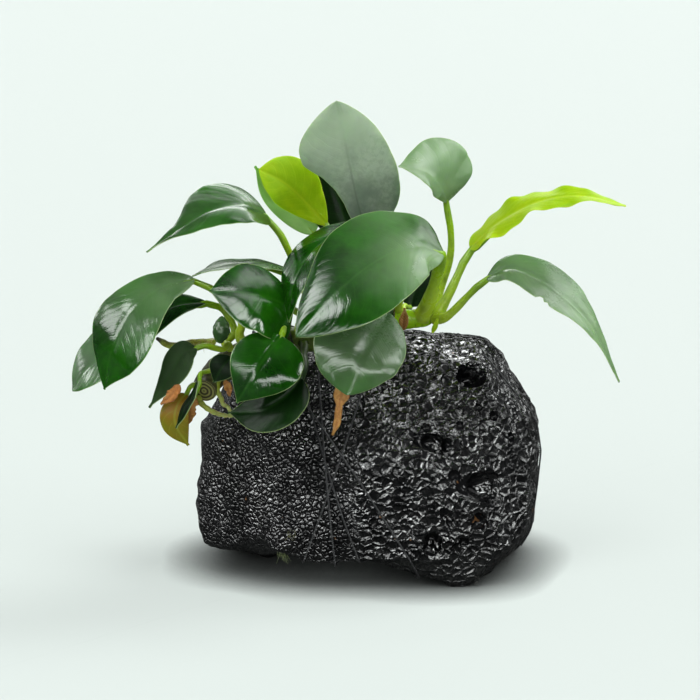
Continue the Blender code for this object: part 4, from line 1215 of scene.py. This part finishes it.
def ply_tree(material):
    """Geometry nodes: plies twisted round a route of edges, joined into one plain mesh."""
    tree, source, sink = group_with(
        "twisted_plies", "GeometryNodeTree",
        {"Route": "Geometry", "Ply Radius": "Float", "Twist Length": "Float", "Step": "Float",
         "Plies": "Int"}, {"Thread": "Geometry"})
    curve = add_node(tree, "GeometryNodeMeshToCurve", {0: source["Route"]})
    sample = add_node(tree, "GeometryNodeResampleCurve",
                      {"Curve": curve.outputs[0], "Length": source["Step"]}, mode="LENGTH")
    copies = add_node(tree, "GeometryNodeDuplicateElements",
                      {"Geometry": sample.outputs[0], "Amount": source["Plies"]}, domain="SPLINE")
    length = add_node(tree, "GeometryNodeSplineLength").outputs["Length"]
    turns = value_node(tree, "ROUND", value_node(tree, "DIVIDE", length, source["Twist Length"]))
    along = add_node(tree, "GeometryNodeSplineParameter").outputs["Factor"]
    share = value_node(tree, "DIVIDE", copies.outputs["Duplicate Index"], source["Plies"])
    turned = plus(tree, times(tree, along, turns), share)
    angle = times(tree, turned, math.tau)
    normal = add_node(tree, "GeometryNodeInputNormal").outputs[0]
    tangent = add_node(tree, "GeometryNodeInputTangent").outputs[0]
    third = vector_node(tree, "CROSS_PRODUCT", tangent, normal)
    sway = vector_node(
        tree, "ADD", vector_node(tree, "SCALE", normal, value_node(tree, "COSINE", angle)),
        vector_node(tree, "SCALE", third, value_node(tree, "SINE", angle)))
    move = add_node(tree, "GeometryNodeSetPosition", {
        "Geometry": copies.outputs["Geometry"],
        "Offset": vector_node(tree, "SCALE", sway, source["Ply Radius"])})
    profile = add_node(tree, "GeometryNodeCurvePrimitiveCircle",
                       {"Resolution": 5, "Radius": source["Ply Radius"]})
    skin = add_node(tree, "GeometryNodeCurveToMesh", {
        "Curve": move.outputs[0], "Profile Curve": profile.outputs[0], "Fill Caps": True})
    end_tree(tree, sink, skin.outputs[0], material)
    return tree


def run_tree(obj, tree, values):
    """Runs a geometry node tree on an object with its named inputs, and keeps the mesh."""
    modifier = obj.modifiers.new("nodes", "NODES")
    modifier.node_group = tree
    for item in tree.interface.items_tree:
        if item.in_out == "INPUT" and item.name in values:
            modifier[item.identifier] = values[item.name]
    settle(obj)
    obj.data.shade_smooth()


def make_thread(name, route, closed, tree):
    """Twisted thread along a route in millimetres."""
    count = len(route)
    mesh = bpy.data.meshes.new(name)
    edges = [(index, (index + 1) % count) for index in range(count if closed else count - 1)]
    mesh.from_pydata([point * 0.001 for point in route], edges, [])
    thread = link_object(name, mesh)
    run_tree(thread, tree, {"Ply Radius": THREAD_RADIUS / 1800, "Twist Length": TWIST_LENGTH,
                            "Step": THREAD_STEP, "Plies": 2})
    return thread


def thread_material():
    """Black thread, wet, with a faint sheen along its fibres."""
    material, tree, shader, place = new_material("thread")
    fuzz = noise_node(tree, place, 3000.0, 2.0)
    fill(tree, shader, {
        "Base Color": mix_colours(tree, fuzz, (0.006, 0.006, 0.007), (0.045, 0.045, 0.047)),
        "Roughness": band(tree, fuzz, 0.3, 0.7, 0.28, 0.5),
        "Normal": bump_node(tree, fuzz, 0.4, 0.0001)})
    return material


PLIES = ply_tree(thread_material())
for name, point, normal, layer in THREAD_TURNS:
    clearance = THREAD_RADIUS + THREAD_GAP + layer * THREAD_LAYER
    route = taut_loop([stone, rhizome], point, normal, clearance)
    present(make_thread(name + "_twisted", route, True, PLIES), name)
point, normal, left, low = SIDE_STRAND
loop = taut_loop([stone], point, normal, THREAD_RADIUS + THREAD_GAP)
seen = [corner.x > left and corner.z > low for corner in loop]
start = next(index for index in range(len(loop)) if seen[index] and not seen[index - 1])
route = [loop[(start + step) % len(loop)] for step in range(sum(seen))]
present(make_thread("thread_side_twisted", route, False, PLIES), "thread_side")

# ---------------------------------------------------------------------------------------------
# Fibres. Torn stalk fibres at the foot of the spent stalk, a strand of moss that hangs from the
# stone's lower edge, and dark algae hairs at its right foot. Each grows on a patch of surface.
# ---------------------------------------------------------------------------------------------
# Name, where, patch radius, fibres per square millimetre, length, thickness, lean, spread.
TUFTS = [
    ("stalk_fibres", "stub", (-42.5, -16.5, 70.5), 3.2, 2.2, 3.4, 0.15, (-0.7, -0.5, -0.35), 0.45),
    ("moss_strand", "stone", (-19.5, -27.0, 12.0), 1.6, 5.0, 3.4, 0.10, (0.1, -0.45, -0.8), 0.40),
    ("moss_crumb", "stone", (-17.0, -28.0, 17.0), 1.3, 4.0, 1.6, 0.10, (0.1, -0.8, -0.5), 0.9),
    ("algae_hairs", "stone", (36.0, -24.0, 3.0), 4.0, 1.0, 3.0, 0.07, (0.1, -0.7, -0.4), 0.7),
    ("algae_corner", "stone", (48.0, -17.0, 5.0), 4.0, 0.9, 2.6, 0.07, (0.5, -0.5, -0.3), 0.7),
]
FIBRE_COLOURS = {"stalk_fibres": ((0.55, 0.50, 0.14), (0.32, 0.28, 0.06)),
                 "moss_strand": ((0.11, 0.14, 0.05), (0.05, 0.06, 0.03)),
                 "moss_crumb": ((0.13, 0.13, 0.05), (0.05, 0.05, 0.03)),
                 "algae_hairs": ((0.03, 0.03, 0.026), (0.012, 0.012, 0.012)),
                 "algae_corner": ((0.03, 0.03, 0.026), (0.012, 0.012, 0.012))}


def patch_of(obj, centre, radius, name):
    """Copy of the faces of an object within a radius of its surface's nearest point to a place."""
    middle = surface_tree(obj).find_nearest(Vector(centre) * 0.001)[0]
    reach = radius * 0.001
    mesh = bpy.data.meshes.new(name)
    with editing(mesh, obj.data) as bm:
        away = [face for face in bm.faces if (face.calc_center_median() - middle).length > reach]
        bmesh.ops.delete(bm, geom=away, context="FACES")
    return link_object(name, mesh)


def tuft_tree():
    """Geometry nodes: bent tapering fibres scattered on a patch, all leaning one way."""
    tree, source, sink = group_with(
        "fibre_tuft", "GeometryNodeTree",
        {"Patch": "Geometry", "Density": "Float", "Length": "Float", "Thickness": "Float",
         "Spread": "Float", "Seed": "Int", "Lean": "Vector", "Finish": "Material"},
        {"Tuft": "Geometry"})
    scatter = add_node(tree, "GeometryNodeDistributePointsOnFaces", {
        "Mesh": source["Patch"], "Density": source["Density"], "Seed": source["Seed"]})
    line = add_node(tree, "GeometryNodeCurvePrimitiveLine", {"End": (0.0, 0.0, 1.0)})
    steps = add_node(tree, "GeometryNodeResampleCurve", {"Curve": line.outputs[0], "Count": 7})
    share = add_node(tree, "GeometryNodeSplineParameter").outputs["Factor"]
    bow = times(tree, value_node(tree, "POWER", share, 2.0), 0.35)
    sway = add_node(tree, "ShaderNodeCombineXYZ", {"X": bow})
    bend = add_node(tree, "GeometryNodeSetPosition",
                    {"Geometry": steps.outputs[0], "Offset": sway.outputs[0]})
    taper = add_node(tree, "ShaderNodeMapRange", {"Value": share, "To Min": 1.0, "To Max": 0.25})
    ratio = value_node(tree, "DIVIDE", source["Thickness"], source["Length"])
    profile = add_node(tree, "GeometryNodeCurvePrimitiveCircle", {"Resolution": 4, "Radius": ratio})
    skin = add_node(tree, "GeometryNodeCurveToMesh", {
        "Curve": bend.outputs[0], "Profile Curve": profile.outputs[0],
        "Scale": taper.outputs["Result"], "Fill Caps": True})
    stray = add_node(tree, "FunctionNodeRandomValue", {0: (-1.0, -1.0, -1.0), 1: (1.0, 1.0, 1.0)},
                     data_type="FLOAT_VECTOR")
    spread = vector_node(tree, "SCALE", stray.outputs[0], source["Spread"])
    toward = vector_node(tree, "ADD", source["Lean"], spread)
    turn = add_node(tree, "FunctionNodeAlignRotationToVector", {"Vector": toward}, axis="Z")
    size = add_node(tree, "FunctionNodeRandomValue", {2: 0.35, 3: 1.0}, data_type="FLOAT")
    longer = times(tree, size.outputs[1], source["Length"])
    placed = add_node(tree, "GeometryNodeInstanceOnPoints", {
        "Points": scatter.outputs["Points"], "Instance": skin.outputs[0],
        "Rotation": turn.outputs[0], "Scale": longer})
    end_tree(tree, sink, placed.outputs[0], source["Finish"])
    return tree


def fibre_material(name, light, dark):
    """Wet plant fibre, streaked from light to dark along its length."""
    material, tree, shader, place = new_material(name)
    streak = noise_node(tree, place, 900.0, 2.0)
    fill(tree, shader, {
        "Base Color": mix_colours(tree, band(tree, streak, 0.35, 0.65), light, dark),
        "Roughness": band(tree, streak, 0.3, 0.7, 0.35, 0.6),
        "Normal": bump_node(tree, streak, 0.3, 0.0001)})
    return material


TUFT = tuft_tree()
HOSTS = {"stub": stub, "stone": stone}
for seed, (name, host, centre, reach, density, length, thick, lean, spread) in enumerate(TUFTS):
    piece = patch_of(HOSTS[host], centre, reach, name)
    run_tree(piece, TUFT, {"Density": density * 1e6, "Length": length * 0.001,
                           "Thickness": thick * 0.001, "Spread": spread, "Seed": seed + 3,
                           "Lean": lean, "Finish": fibre_material(name, *FIBRE_COLOURS[name])})
    present(piece)
